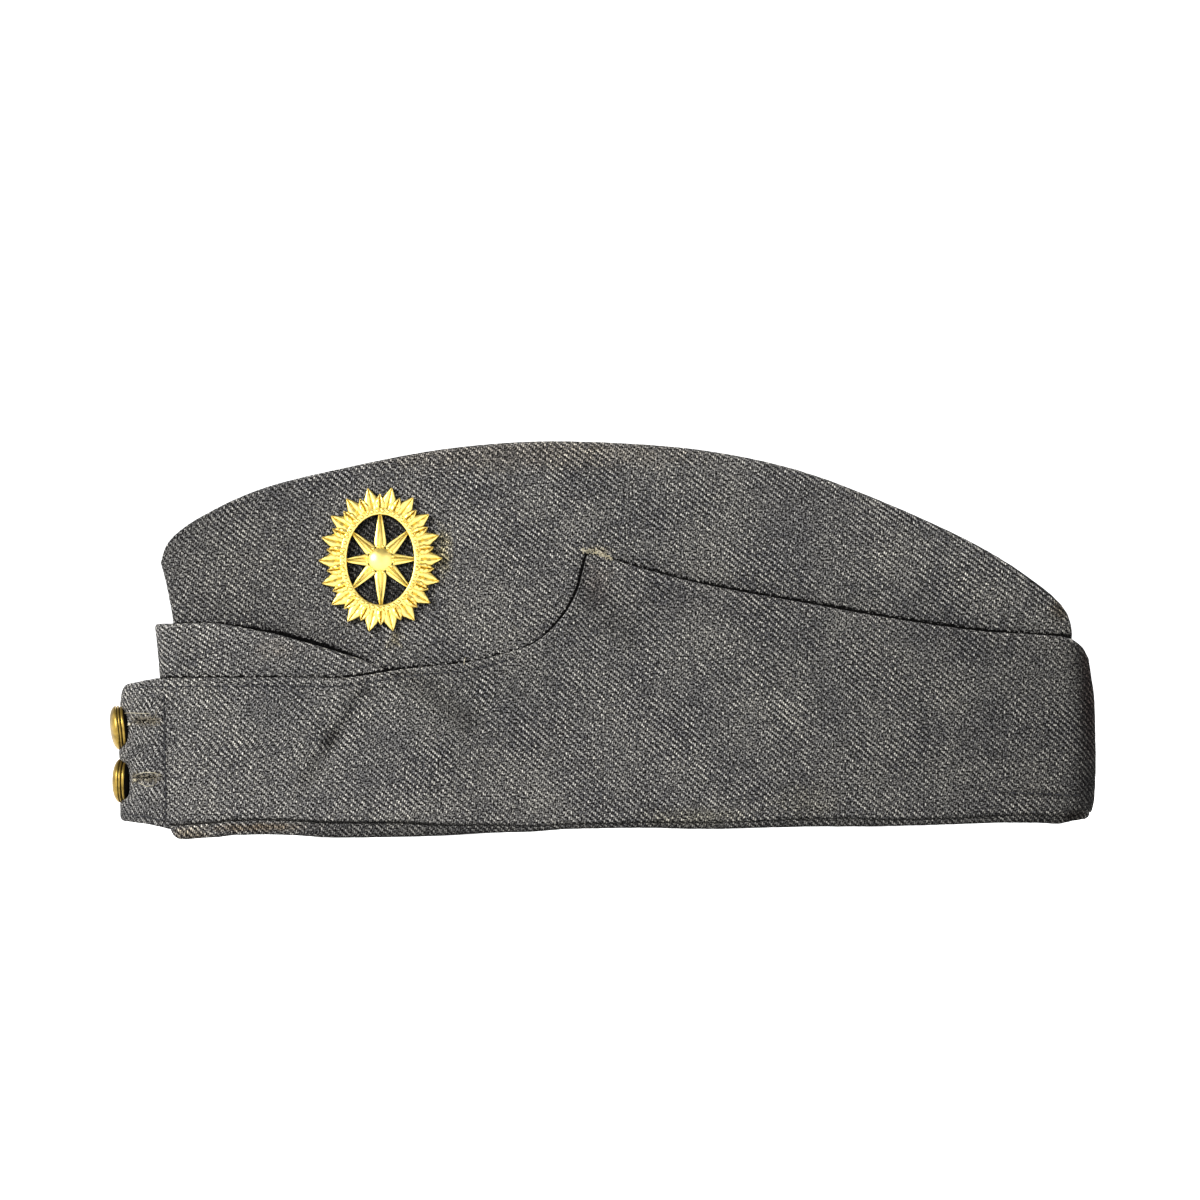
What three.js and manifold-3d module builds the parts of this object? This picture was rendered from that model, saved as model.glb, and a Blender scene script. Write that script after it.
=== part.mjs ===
// A garrison cap (folding field service side cap) of blue-grey serge, standing on its lower rim.
// Millimetres, +Z up. The front of the cap is -X, its left side (the badge side) is -Y.
import * as THREE from "three";
import { ConvexGeometry } from "three/addons/geometries/ConvexGeometry.js";
import { mergeVertices } from "three/addons/utils/BufferGeometryUtils.js";
import Module from "manifold-3d";

const wasm = await Module();
wasm.setup();

// Cloth thicknesses and the gaps that sewn layers keep
const CROWN_CLOTH = 2.0; // side panel, serge over its lining
const GUSSET_CLOTH = 1.5; // top gusset, measured across its steep walls
const CURTAIN_CLOTH = 2.8; // turned-up curtain, two layers of serge
const PEAK_CLOTH = 2.4; // folded-up cloth peak, two layers
const FOLD_CLOTH = 2.4; // the turned lower edge that the cap stands on
const SEAM_GAP = 0.3; // between pieces that are sewn together

// Crown: ends and half width of its outer face at the rim, half width at the ridge, and its belly
const CROWN = { front: -125, back: 141, rimHalf: 24, ridgeHalf: 6.5, belly: 0.8 };
// Ridge of the crown seen from the side, from the front seam over the top to the back seam
const RIDGE = [
  { x: -129.6, z: 84.0 },
  { x: -127.0, z: 90.1 },
  { x: -118.2, z: 97.1 },
  { x: -100.0, z: 104.8 },
  { x: -73.0, z: 110.8 },
  { x: -46.0, z: 115.3 },
  { x: -19.0, z: 117.4 },
  { x: 8.0, z: 116.6 },
  { x: 35.0, z: 113.3 },
  { x: 62.0, z: 107.1 },
  { x: 89.0, z: 96.6 },
  { x: 115.6, z: 83.5 },
  { x: 133.4, z: 71.2 },
  { x: 140.6, z: 63.6 },
  { x: 142.2, z: 57.5 },
];
// The top gusset folds down between the two ridges; start and end are shares of the ridge's half turn
const GUSSET = { start: 0.05, end: 0.95, depth: 23, endDepth: 5, valleyHalf: 1.7 };

// Curtain: half width at the rim, stand-off from the crown at the ridge, and room for the peak
const CURTAIN = { rimHalf: 28.6, standOff: 4.5, bluntness: 0.8, overPeak: 3.9, leastRidge: 104 };
// How far forward and back the curtain reaches at each height
const CURTAIN_ENDS = [
  { z: 0.0, front: -142.8, back: 146.6 },
  { z: 8.0, front: -143.8, back: 148.7 },
  { z: 22.0, front: -143.8, back: 149.3 },
  { z: 36.0, front: -143.6, back: 149.2 },
  { z: 44.0, front: -142.8, back: 148.4 },
  { z: 48.5, front: -141.2, back: 147.8 },
  { z: 57.0, front: -140.6, back: 147.4 },
];
// Upper edge of the curtain, from the buttoned front over the step to the back
const CURTAIN_TOP = [
  { x: -144.0, z: 46.5 },
  { x: -134.0, z: 48.0 },
  { x: -100.0, z: 48.1 },
  { x: -80.0, z: 47.9 },
  { x: -59.0, z: 50.3 },
  { x: -39.5, z: 52.0 },
  { x: -29.0, z: 55.2 },
  { x: -20.0, z: 60.0 },
  { x: -12.0, z: 66.6 },
  { x: -7.0, z: 73.6 },
  { x: -3.6, z: 81.6 },
  { x: -1.0, z: 84.2 },
  { x: 3.0, z: 83.4 },
  { x: 31.0, z: 75.2 },
  { x: 61.0, z: 68.6 },
  { x: 91.0, z: 62.8 },
  { x: 121.0, z: 58.2 },
  { x: 138.0, z: 56.4 },
  { x: 144.0, z: 54.2 },
  { x: 149.3, z: 49.0 },
];
// Lower edge of the free tab in front of the turned lower edge
const TAB_BOTTOM = [
  { x: -144.0, z: 6.4 },
  { x: -136.0, z: 5.4 },
  { x: -128.0, z: 3.6 },
  { x: -120.0, z: 3.0 },
];
const TAB_END = -131.5; // where each curtain's overlapping end stops, past the nose
const FOLD_START = -127; // where the curtain runs into the turned lower edge
const OVERLAP_INSET = 3.4; // how far the lower tab lies inside the upper one
const OVERLAP_BLEND = { start: -127, end: -119 }; // where the lower tab's curtain comes back in line
const EDGE_ROUND = 0.8; // rounding of cloth edges

// Stretches of the lower edge that lift clear of the surface
const RIM_LIFTS = [
  { x: -108, spread: 17, lift: 1.2 },
  { x: 0, spread: 22, lift: 1.4 },
  { x: 62, spread: 14, lift: 0.5 },
];

// Peak: a crescent folded up against the front of the crown; end is its half turn in radians
const PEAK = { end: 1.13, noseClear: 2.5, flankClear: 0.6, aboveFold: 2, midHeight: 40 };
const PEAK_TOP = [
  { x: -132.0, z: 65.0 },
  { x: -119.0, z: 65.0 },
  { x: -101.0, z: 62.0 },
  { x: -89.0, z: 58.5 },
  { x: -80.0, z: 55.6 },
  { x: -68.0, z: 51.0 },
  { x: -57.0, z: 42.0 },
  { x: -46.0, z: 24.0 },
];

// Soft creases pressed into the curtains, each a valley from one point to another
const LEFT_CREASES = [
  { x0: -71, z0: 43, x1: -93, z1: 24, depth: 1.1, width: 4.5 },
  { x0: -56, z0: 50, x1: -34, z1: 31, depth: 1.2, width: 4.5 },
  { x0: -3, z0: 72, x1: 10, z1: 58, depth: 0.7, width: 6 },
];
const RIGHT_CREASES = [
  { x0: -74, z0: 42, x1: -88, z1: 22, depth: 1.0, width: 5 },
  { x0: -8, z0: 66, x1: 6, z1: 50, depth: 0.8, width: 7 },
];
const PEAK_ROOM_END = { start: -62, end: -8 }; // where the curtain comes back in behind the peak
const CREASE_INSIDE = 0.25; // share of a crease that shows on the inner face

// Domed buttons on the front; turn is about the vertical and lean about the cap's width, in degrees
const BUTTON = { shankRadius: 1.1, shankRoot: 0.5, seat: -141.7, shankEnd: -137.6, y: -0.6 };
const BUTTONS = [
  { name: "button_upper", z: 34.5, turn: 3, lean: 5 },
  { name: "button_lower", z: 18.3, turn: -7, lean: 0 },
];
// Half profile of a button, from the middle of its back to the top of its dome
const BUTTON_PROFILE = [
  { radius: 0.0, height: 0.0 },
  { radius: 6.0, height: 0.0 },
  { radius: 6.9, height: 0.35 },
  { radius: 7.0, height: 0.9 },
  { radius: 6.75, height: 1.35 },
  { radius: 6.95, height: 1.7 },
  { radius: 6.4, height: 2.5 },
  { radius: 4.9, height: 3.6 },
  { radius: 2.6, height: 4.4 },
  { radius: 0.0, height: 4.65 },
];
// The cloth is pressed back behind each button, over this height either way and this part of the turn
const BUTTON_FLAT = { x: -140.3, reach: 7.9, spread: 0.24 };
const BUTTONHOLE = { rear: -131.5, height: 1.0, eyeRadius: 1.6 };

// Badge: an oval pierced plaque of gilding metal, a rayed star in a hoop fringed with leaves
const BADGE = { x: -64.2, z: 82.9, stand: 0.35, plate: 0.9 };
const HOOP = { halfWidth: 11.2, halfHeight: 14.7, width: 2.2, bevel: 0.5, sunk: 0.4, steps: 18 };
const BEADS = { count: 20, radius: 0.8 };
const LEAVES = { count: 18, rooted: 1.4 };
// The fringe has long leaves, and between them short ones that stand prouder
const LEAF_LAYERS = [
  { name: "long", offset: 0, length: 7.6, halfWidth: 2.6, rise: 1.5 },
  { name: "short", offset: 0.5, length: 5.4, halfWidth: 2.1, rise: 2.1 },
];
const RAYS = { count: 8, halfWidth: 1.9, waist: 0.35, rise: 2.1 };
const BOSS = { radius: 4.2, rise: 2.7 };
const SLIDER = { width: 5, thickness: 0.9, drop: 20, clear: 0.7, slitClear: 0.35 };

const COLOURS = { serge: 0x5f6066, gilding: 0xd0b258, brass: 0x9c7c3c };

const mix = (a, b, t) => a + (b - a) * t;
const clamp01 = (t) => Math.min(1, Math.max(0, t));
const smoothStep = (a, b, t) => {
  const s = clamp01((t - a) / (b - a));
  return s * s * (3 - 2 * s);
};

// A smooth function through a table's rows that never overshoots them
function through(rows, from, to) {
  const last = rows.length - 1;
  const slopes = rows.slice(1).map((row, i) => (row[to] - rows[i][to]) / (row[from] - rows[i][from]));
  const tangents = rows.map((_, i) => {
    if (i === 0 || i === last) return slopes[Math.min(i, last - 1)];
    const product = slopes[i - 1] * slopes[i];
    return product <= 0 ? 0 : (2 * product) / (slopes[i - 1] + slopes[i]);
  });
  return (value) => {
    if (value <= rows[0][from]) return rows[0][to];
    if (value >= rows[last][from]) return rows[last][to];
    const i = rows.findIndex((row) => row[from] > value) - 1;
    const h = rows[i + 1][from] - rows[i][from];
    const t = (value - rows[i][from]) / h;
    const left = (1 + 2 * t) * (1 - t) ** 2 * rows[i][to] + t * (1 - t) ** 2 * h * tangents[i];
    const right = t * t * (3 - 2 * t) * rows[i + 1][to] + t * t * (t - 1) * h * tangents[i + 1];
    return left + right;
  };
}

const ridgeHeight = through(RIDGE, "x", "z");
const curtainFront = through(CURTAIN_ENDS, "z", "front");
const curtainBack = through(CURTAIN_ENDS, "z", "back");
const curtainTop = through(CURTAIN_TOP, "x", "z");
const tabBottom = through(TAB_BOTTOM, "x", "z");
const peakTop = through(PEAK_TOP, "x", "z");
const ridgeCurve = new THREE.SplineCurve(RIDGE.map((row) => new THREE.Vector2(row.x, row.z)));

function rimLift(x) {
  const bump = (row) => row.lift * Math.max(0, 1 - ((x - row.x) / row.spread) ** 2) ** 2;
  return RIM_LIFTS.reduce((sum, row) => sum + bump(row), 0);
}

// A closed wall between an outer and an inner face, each a function of (column, row) to a point
function wall(outer, inner, columns, rows) {
  const points = [];
  for (const face of [outer, inner])
    for (let i = 0; i <= columns; i++)
      for (let j = 0; j <= rows; j++) points.push(face(i, j));
  const at = (side, i, j) => (side * (columns + 1) + i) * (rows + 1) + j;
  const index = [];
  const quad = (a, b, c, d) => index.push(a, b, c, a, c, d);
  for (let i = 0; i < columns; i++) {
    for (let j = 0; j < rows; j++) {
      quad(at(0, i, j), at(0, i + 1, j), at(0, i + 1, j + 1), at(0, i, j + 1));
      quad(at(1, i, j), at(1, i, j + 1), at(1, i + 1, j + 1), at(1, i + 1, j));
    }
    quad(at(0, i, 0), at(1, i, 0), at(1, i + 1, 0), at(0, i + 1, 0));
    quad(at(0, i, rows), at(0, i + 1, rows), at(1, i + 1, rows), at(1, i, rows));
  }
  for (let j = 0; j < rows; j++) {
    quad(at(0, 0, j), at(0, 0, j + 1), at(1, 0, j + 1), at(1, 0, j));
    quad(at(0, columns, j), at(1, columns, j), at(1, columns, j + 1), at(0, columns, j + 1));
  }
  const geometry = new THREE.BufferGeometry().setFromPoints(points);
  geometry.setIndex(index);
  return geometry;
}

// The same shape on the other side of the cap
function mirrored(geometry) {
  const copy = geometry.clone().scale(1, -1, 1);
  const index = copy.index.array;
  for (let i = 0; i < index.length; i += 3) {
    const second = index[i + 1];
    index[i + 1] = index[i + 2];
    index[i + 2] = second;
  }
  return copy;
}

function toSolid(geometry) {
  const bare = geometry.index ? geometry.toNonIndexed() : geometry.clone();
  bare.deleteAttribute("normal");
  bare.deleteAttribute("uv");
  const merged = mergeVertices(bare, 1e-4);
  const vertProperties = merged.attributes.position.array;
  const triVerts = new Uint32Array(merged.index.array);
  return new wasm.Manifold(new wasm.Mesh({ numProp: 3, vertProperties, triVerts }));
}

function toGeometry(solid) {
  const mesh = solid.getMesh();
  const geometry = new THREE.BufferGeometry();
  geometry.setAttribute("position", new THREE.BufferAttribute(new Float32Array(mesh.vertProperties), 3));
  geometry.setIndex(new THREE.BufferAttribute(new Uint32Array(mesh.triVerts), 1));
  return geometry;
}

// Crown side panel. Angle runs from 0 at the front seam to pi at the back seam, rise from 0 at the rim
// to 1 at the ridge, and the inset is measured inwards from the outer face.
function crownPoint(angle, rise, inset) {
  const along = (1 - Math.cos(angle)) / 2;
  const round = Math.max(0, Math.sin(angle));
  const ridge = ridgeCurve.getPointAt(along);
  const rimX = mix(CROWN.front + inset, CROWN.back - inset, along);
  const ridgeX = ridge.x + inset * Math.cos(angle);
  const rimZ = FOLD_CLOTH + 2 * SEAM_GAP + rimLift(rimX);
  const half = mix((CROWN.rimHalf - inset) * round, (CROWN.ridgeHalf - inset) * Math.sqrt(round), rise);
  const belly = CROWN.belly * round * Math.sin(Math.PI * rise);
  const y = -(SEAM_GAP / 2 + half + belly);
  return new THREE.Vector3(mix(rimX, ridgeX, rise ** 4), y, mix(rimZ, ridge.y, rise));
}

// The crown's outer face along one ruling, at a given height
function crownAtHeight(angle, z) {
  const rim = crownPoint(angle, 0, 0).z;
  const ridge = crownPoint(angle, 1, 0).z;
  return crownPoint(angle, clamp01((z - rim) / (ridge - rim)), 0);
}

// The crown's outer face at a place seen from the side
function crownAt(x, z) {
  let low = 0;
  let high = Math.PI;
  for (let step = 0; step < 30; step++) {
    const middle = (low + high) / 2;
    if (crownAtHeight(middle, z).x < x) low = middle;
    else high = middle;
  }
  return crownAtHeight(low, z);
}

const CROWN_COLUMNS = 36;
const CROWN_ROWS = 5;
function crownPanel() {
  const face = (inset) => (i, j) => crownPoint((Math.PI * i) / CROWN_COLUMNS, j / CROWN_ROWS, inset);
  return wall(face(0), face(CROWN_CLOTH), CROWN_COLUMNS, CROWN_ROWS);
}

// Top gusset: a channel folded down between the ridges, just inside the side panels
const GUSSET_COLUMNS = 28;
const GUSSET_SIDES = [-1, -0.5, 0, 0.5, 1]; // from ridge to valley to ridge
function gusset() {
  const inset = CROWN_CLOTH + SEAM_GAP;
  const face = (isUnder) => (i, j) => {
    const angle = Math.PI * mix(GUSSET.start, GUSSET.end, i / GUSSET_COLUMNS);
    const side = Math.abs(GUSSET_SIDES[j]);
    const depth = mix(GUSSET.endDepth, GUSSET.depth, Math.sin(angle)) * (1 - side);
    const ridge = crownPoint(angle, 1, inset);
    const place = crownPoint(angle, 1 - depth / ridge.z, inset);
    const top = -ridge.y;
    const half = mix(Math.min(GUSSET.valleyHalf, top), top, side);
    const width = isUnder ? half : Math.max(half - GUSSET_CLOTH, half / 4);
    const drop = isUnder && side === 0 ? GUSSET_CLOTH : 0;
    return new THREE.Vector3(place.x, Math.sign(GUSSET_SIDES[j]) * width, place.z - drop);
  };
  return wall(face(false), face(true), GUSSET_COLUMNS, GUSSET_SIDES.length - 1);
}

// Peak: from the right side round the front of the crown to the left side
const PEAK_COLUMNS = 28;
const PEAK_ROWS = 3;
function peak() {
  const stand = (angle) => mix(PEAK.noseClear, PEAK.flankClear, smoothStep(0, PEAK.end / 3, angle));
  const face = (inset) => (i, j) => {
    const turn = mix(-PEAK.end, PEAK.end, i / PEAK_COLUMNS);
    const angle = Math.abs(turn);
    const middle = crownAtHeight(angle, PEAK.midHeight);
    const bottom = FOLD_CLOTH + PEAK.aboveFold + rimLift(middle.x);
    const z = mix(bottom, peakTop(middle.x - PEAK.noseClear), j / PEAK_ROWS);
    const base = crownAtHeight(angle, z);
    const next = crownAtHeight(angle + 0.01, z);
    const out = new THREE.Vector2(next.y - base.y, base.x - next.x).normalize();
    const offset = stand(angle) + PEAK_CLOTH - inset;
    const isNose = angle === 0;
    const x = base.x + offset * (isNose ? -1 : out.x);
    const y = isNose ? 0 : base.y + offset * out.y;
    return new THREE.Vector3(x, turn < 0 ? -y : y, z);
  };
  return wall(face(0), face(PEAK_CLOTH), PEAK_COLUMNS, PEAK_ROWS);
}

// How much room the curtain leaves for the peak beneath it
const peakRoom = (x) => CURTAIN.overPeak * (1 - smoothStep(PEAK_ROOM_END.start, PEAK_ROOM_END.end, x));

// The nose of the curtain is pressed back where a button bears on it
function frontAt(angle, z) {
  const bears = (button) => Math.exp(-(((z - button.z) / BUTTON_FLAT.reach) ** 16));
  const share = Math.max(...BUTTONS.map(bears)) * Math.exp(-((angle / BUTTON_FLAT.spread) ** 2));
  return mix(curtainFront(z), BUTTON_FLAT.x, share);
}

function creaseDepth(x, z, creases) {
  const place = new THREE.Vector2(x, z);
  const valley = (crease) => {
    const start = new THREE.Vector2(crease.x0, crease.z0);
    const run = new THREE.Vector2(crease.x1, crease.z1).sub(start);
    const share = clamp01(place.clone().sub(start).dot(run) / run.lengthSq());
    const distance = place.distanceTo(start.addScaledVector(run, share));
    return crease.depth * Math.exp(-((distance / crease.width) ** 2));
  };
  return creases.reduce((sum, crease) => sum + valley(crease), 0);
}

// A point of a curtain's loop. Angle is 0 at the nose, pi at the back and negative past the nose.
function curtainPoint(angle, z, inset, creases) {
  const front = frontAt(angle, z) + inset;
  const back = curtainBack(z) - inset;
  const x = mix(front, back, (1 - Math.cos(angle)) / 2);
  const round = Math.abs(Math.sin(angle)) ** CURTAIN.bluntness;
  const rise = clamp01(z / Math.max(ridgeHeight(x), CURTAIN.leastRidge));
  const half = mix(CURTAIN.rimHalf, CROWN.ridgeHalf + CURTAIN.standOff, rise) + peakRoom(x) - inset;
  const crease = creaseDepth(x, z, creases) * (inset < CURTAIN_CLOTH ? 1 : CREASE_INSIDE);
  const y = (half - crease) * round;
  const isPastBackSeam = angle > Math.PI / 2 && y < SEAM_GAP / 2;
  return new THREE.Vector3(x, angle < 0 ? y : -(isPastBackSeam ? SEAM_GAP / 2 : y), z);
}

// The curtain's columns lie closer together at the step of its upper edge
const CURTAIN_COLUMNS = 32;
const STEP_COLUMNS = [-17, -12.5, -9, -6.5, -4.6, -3, -1, 1.5];
const FOLD_EDGE = 0.006; // width, in radians, of the step from the free tab to the turned edge
const LAYOUT_HEIGHT = 30; // the height at which a column's place is reckoned
const CURTAIN_MIDDLE = (curtainFront(LAYOUT_HEIGHT) + curtainBack(LAYOUT_HEIGHT)) / 2;
const CURTAIN_REACH = (curtainBack(LAYOUT_HEIGHT) - curtainFront(LAYOUT_HEIGHT)) / 2;
const CLOSEST_COLUMNS = 0.018; // in radians
const angleAt = (x) => Math.acos((CURTAIN_MIDDLE - x) / CURTAIN_REACH);
const placeAt = (angle) => CURTAIN_MIDDLE - CURTAIN_REACH * Math.cos(angle);

function curtainAngles() {
  const even = (i) => mix(-angleAt(TAB_END), Math.PI, i / CURTAIN_COLUMNS);
  const fold = angleAt(FOLD_START);
  const fixed = [...STEP_COLUMNS.map(angleAt), fold - FOLD_EDGE, fold];
  const spread = Array.from({ length: CURTAIN_COLUMNS + 1 }, (_, i) => even(i));
  const clear = spread.filter((a) => fixed.every((b) => Math.abs(a - b) > CLOSEST_COLUMNS));
  return [...clear, ...fixed].sort((a, b) => a - b);
}

// Rows from the foot to the upper edge, set so that the cloth can be pressed flat behind each button
const CURTAIN_RISES = [0, 0.05, 0.14, 0.3, 0.46, 0.5, 0.54, 0.7, 0.87, 0.94, 1];
const FOOT_ROWS = 2;
function curtain(isOver, creases) {
  const angles = curtainAngles();
  const crownInside = (x) => {
    const s = (2 * x - CROWN.front - CROWN.back) / (CROWN.back - CROWN.front - 2 * CROWN_CLOTH);
    return (CROWN.rimHalf - CROWN_CLOTH) * Math.sqrt(Math.max(0, 1 - s * s)) + SEAM_GAP / 2;
  };
  // The foot of a free tab is a rounded edge; elsewhere it turns inwards under the crown
  const foot = (angle, j, inset, bottom, isFolded, isInner) => {
    const isRim = j === 0;
    if (!isFolded) {
      const trim = isRim ? EDGE_ROUND : EDGE_ROUND / 3;
      const z = bottom + (isRim ? 0 : EDGE_ROUND / 3);
      return curtainPoint(angle, z, isInner ? inset - trim : inset + trim, creases);
    }
    const z = bottom + (isInner ? FOLD_CLOTH : 0);
    const corner = curtainPoint(angle, z, inset + EDGE_ROUND, creases);
    corner.z = z;
    if (isRim) corner.y = -Math.min(crownInside(corner.x), -corner.y);
    return corner;
  };
  const face = (inset) => (i, j) => {
    const angle = angles[i];
    const place = placeAt(angle);
    const isInner = inset > 0;
    const isFolded = angle > 0 && place >= FOLD_START;
    const isInLine = smoothStep(OVERLAP_BLEND.start, OVERLAP_BLEND.end, place);
    const overlap = isOver ? 0 : OVERLAP_INSET * (1 - isInLine);
    const bottom = isFolded ? rimLift(place) : tabBottom(place);
    if (j < FOOT_ROWS) return foot(angle, j, inset + overlap, bottom, isFolded, isInner);
    const start = bottom + EDGE_ROUND + (isInner && isFolded ? FOLD_CLOTH : 0);
    const z = mix(start, curtainTop(place), CURTAIN_RISES[j - FOOT_ROWS]);
    return curtainPoint(angle, z, inset + overlap, creases);
  };
  return wall(face(0), face(CURTAIN_CLOTH), angles.length - 1, CURTAIN_RISES.length - 1 + FOOT_ROWS);
}

// Two buttonholes through the left curtain's front, each with an eye for the shank at the nose
function withButtonholes(geometry) {
  const front = BUTTON_FLAT.x - 4 * CURTAIN_CLOTH;
  const length = BUTTONHOLE.rear - front;
  const width = CURTAIN.rimHalf + BUTTONHOLE.eyeRadius;
  return BUTTONS.reduce((cloth, button) => {
    const slot = new THREE.BoxGeometry(length, width, BUTTONHOLE.height);
    slot.translate(front + length / 2, BUTTON.y + BUTTONHOLE.eyeRadius - width / 2, button.z);
    const eye = new THREE.CylinderGeometry(BUTTONHOLE.eyeRadius, BUTTONHOLE.eyeRadius, 8 * CURTAIN_CLOTH, 16);
    eye.rotateZ(Math.PI / 2).translate(BUTTON_FLAT.x, BUTTON.y, button.z);
    return cloth.subtract(toSolid(slot)).subtract(toSolid(eye));
  }, toSolid(geometry));
}

// Button: a turned dome whose shank goes back through the buttonhole
function buttonGeometry(turn, lean) {
  const profile = BUTTON_PROFILE.map((row) => new THREE.Vector2(row.radius, row.height));
  const dome = new THREE.LatheGeometry(profile, 20);
  dome.rotateZ(Math.PI / 2).rotateY(THREE.MathUtils.degToRad(lean)).rotateZ(THREE.MathUtils.degToRad(turn));
  const length = BUTTON.shankEnd - BUTTON.seat + BUTTON.shankRoot;
  const shank = new THREE.CylinderGeometry(BUTTON.shankRadius, BUTTON.shankRadius, length, 12);
  shank.rotateZ(Math.PI / 2).translate(length / 2 - BUTTON.shankRoot, 0, 0);
  return toGeometry(toSolid(dome).add(toSolid(shank)));
}

// A shape with an outline given on its right half, from foot to tip, and a ridge along its middle
function ridgedBlade(rightHalf, height, ridge) {
  const outline = [...rightHalf, ...rightHalf.map((p) => new THREE.Vector2(-p.x, p.y))];
  const foot = outline.map((p) => new THREE.Vector3(p.x, p.y, 0));
  const edge = outline.map((p) => new THREE.Vector3(p.x, p.y, height));
  return new ConvexGeometry([...foot, ...edge, ...ridge]);
}

// Leaf: pointed at both ends, with a raised midrib
function leaf({ length, halfWidth, rise }) {
  const rightHalf = [
    new THREE.Vector2(0.4, 0),
    new THREE.Vector2(halfWidth, 0.5 * length),
    new THREE.Vector2(0.3, length),
  ];
  const ridge = [0.1, 0.85].map((t) => new THREE.Vector3(0, t * length, rise * (1 - 0.3 * t)));
  return ridgedBlade(rightHalf, 0.7 * BADGE.plate, ridge);
}

// Ray of the star: narrow at the boss, widest at its waist and pointed at the hoop
function ray(length) {
  const waist = RAYS.waist * length;
  const rightHalf = [
    new THREE.Vector2(0.6, 0),
    new THREE.Vector2(RAYS.halfWidth, waist),
    new THREE.Vector2(0.35, length),
  ];
  const ridge = [0, 1].map((t) => new THREE.Vector3(0, t * length, mix(RAYS.rise, BADGE.plate + 0.2, t)));
  return ridgedBlade(rightHalf, BADGE.plate, ridge);
}

function hoop() {
  const half = HOOP.width / 2 - HOOP.bevel;
  const { halfWidth, halfHeight } = HOOP;
  const oval = new THREE.Shape();
  oval.absellipse(0, 0, halfWidth + half, halfHeight + half, 0, 2 * Math.PI);
  const inside = new THREE.Path();
  inside.absellipse(0, 0, halfWidth - half, halfHeight - half, 0, 2 * Math.PI);
  oval.holes.push(inside);
  return new THREE.ExtrudeGeometry(oval, {
    depth: BADGE.plate,
    curveSegments: HOOP.steps,
    bevelThickness: HOOP.bevel,
    bevelSize: HOOP.bevel,
    bevelSegments: 1,
  });
}

// Slider: the strip soldered to the back, which goes in through a slit and down behind the cloth
function slider(reach) {
  const { thickness, drop, width } = SLIDER;
  const profile = new THREE.Shape();
  profile.moveTo(0.3, -thickness / 2);
  profile.lineTo(0.3, thickness / 2);
  profile.lineTo(-reach - thickness, thickness / 2);
  profile.lineTo(-reach - thickness, -drop);
  profile.lineTo(-reach, -drop);
  profile.lineTo(-reach, -thickness / 2);
  const strip = new THREE.ExtrudeGeometry(profile, { depth: width, bevelEnabled: false });
  return strip.translate(0, 0, -width / 2).rotateY(-Math.PI / 2).translate(0, -HOOP.halfHeight, 0);
}

// Boss at the middle of the star: a low dome with a flat back
function boss() {
  const dome = new THREE.SphereGeometry(1, 16, 8).scale(BOSS.radius, BOSS.radius, BOSS.rise);
  const behind = new THREE.BoxGeometry(3 * BOSS.radius, 3 * BOSS.radius, 2 * BOSS.rise);
  return toGeometry(toSolid(dome).subtract(toSolid(behind.translate(0, 0, -BOSS.rise))));
}

// The badge in its own frame: x along the cap, y up and z outwards from the cloth
function badgeGeometry(reach) {
  const pieces = [hoop().translate(0, 0, HOOP.sunk), slider(reach), boss()];
  const onHoop = (turn) => [HOOP.halfWidth * Math.cos(turn), HOOP.halfHeight * Math.sin(turn)];
  for (let i = 0; i < BEADS.count; i++) {
    const turn = (2 * Math.PI * (i + 0.5)) / BEADS.count;
    const bead = new THREE.OctahedronGeometry(BEADS.radius, 0);
    pieces.push(bead.translate(...onHoop(turn), BADGE.plate + 2 * HOOP.bevel));
  }
  for (const layer of LEAF_LAYERS)
    for (let i = 0; i < LEAVES.count; i++) {
      const turn = (2 * Math.PI * (i + layer.offset)) / LEAVES.count;
      const outwards = Math.atan2(Math.sin(turn) / HOOP.halfHeight, Math.cos(turn) / HOOP.halfWidth);
      const blade = leaf(layer).translate(0, HOOP.width / 2 - LEAVES.rooted, 0);
      pieces.push(blade.rotateZ(outwards - Math.PI / 2).translate(...onHoop(turn), 0));
    }
  for (let i = 0; i < RAYS.count; i++) {
    const turn = (2 * Math.PI * i) / RAYS.count;
    const length = 1 / Math.hypot(Math.cos(turn) / HOOP.halfWidth, Math.sin(turn) / HOOP.halfHeight);
    pieces.push(ray(length).rotateZ(turn - Math.PI / 2));
  }
  return toGeometry(pieces.map(toSolid).reduce((badge, piece) => badge.add(piece)));
}

// Where the badge sits: its own frame laid on the crown, and its stand-off so that it clears the cloth
function badgeSeat() {
  const at = (u, v) => crownAt(BADGE.x + u, BADGE.z + v);
  const reach = HOOP.width / 2 - LEAVES.rooted + LEAF_LAYERS[0].length;
  const halfWidth = HOOP.halfWidth + reach;
  const halfHeight = HOOP.halfHeight + reach;
  const along = at(halfWidth, 0).sub(at(-halfWidth, 0)).normalize();
  const up = at(0, halfHeight).sub(at(0, -halfHeight)).normalize();
  const out = along.clone().cross(up).normalize();
  up.crossVectors(out, along);
  const centre = at(0, 0);
  const proud = [-1, -0.5, 0, 0.5, 1].flatMap((u) =>
    [-1, -0.5, 0, 0.5, 1].map((v) => at(0.7 * u * halfWidth, 0.7 * v * halfHeight).sub(centre).dot(out)),
  );
  const stand = Math.max(...proud) + BADGE.stand;
  const frame = new THREE.Matrix4().makeBasis(along, up, out);
  frame.setPosition(centre.clone().addScaledVector(out, stand));
  return { frame, stand };
}

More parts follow.
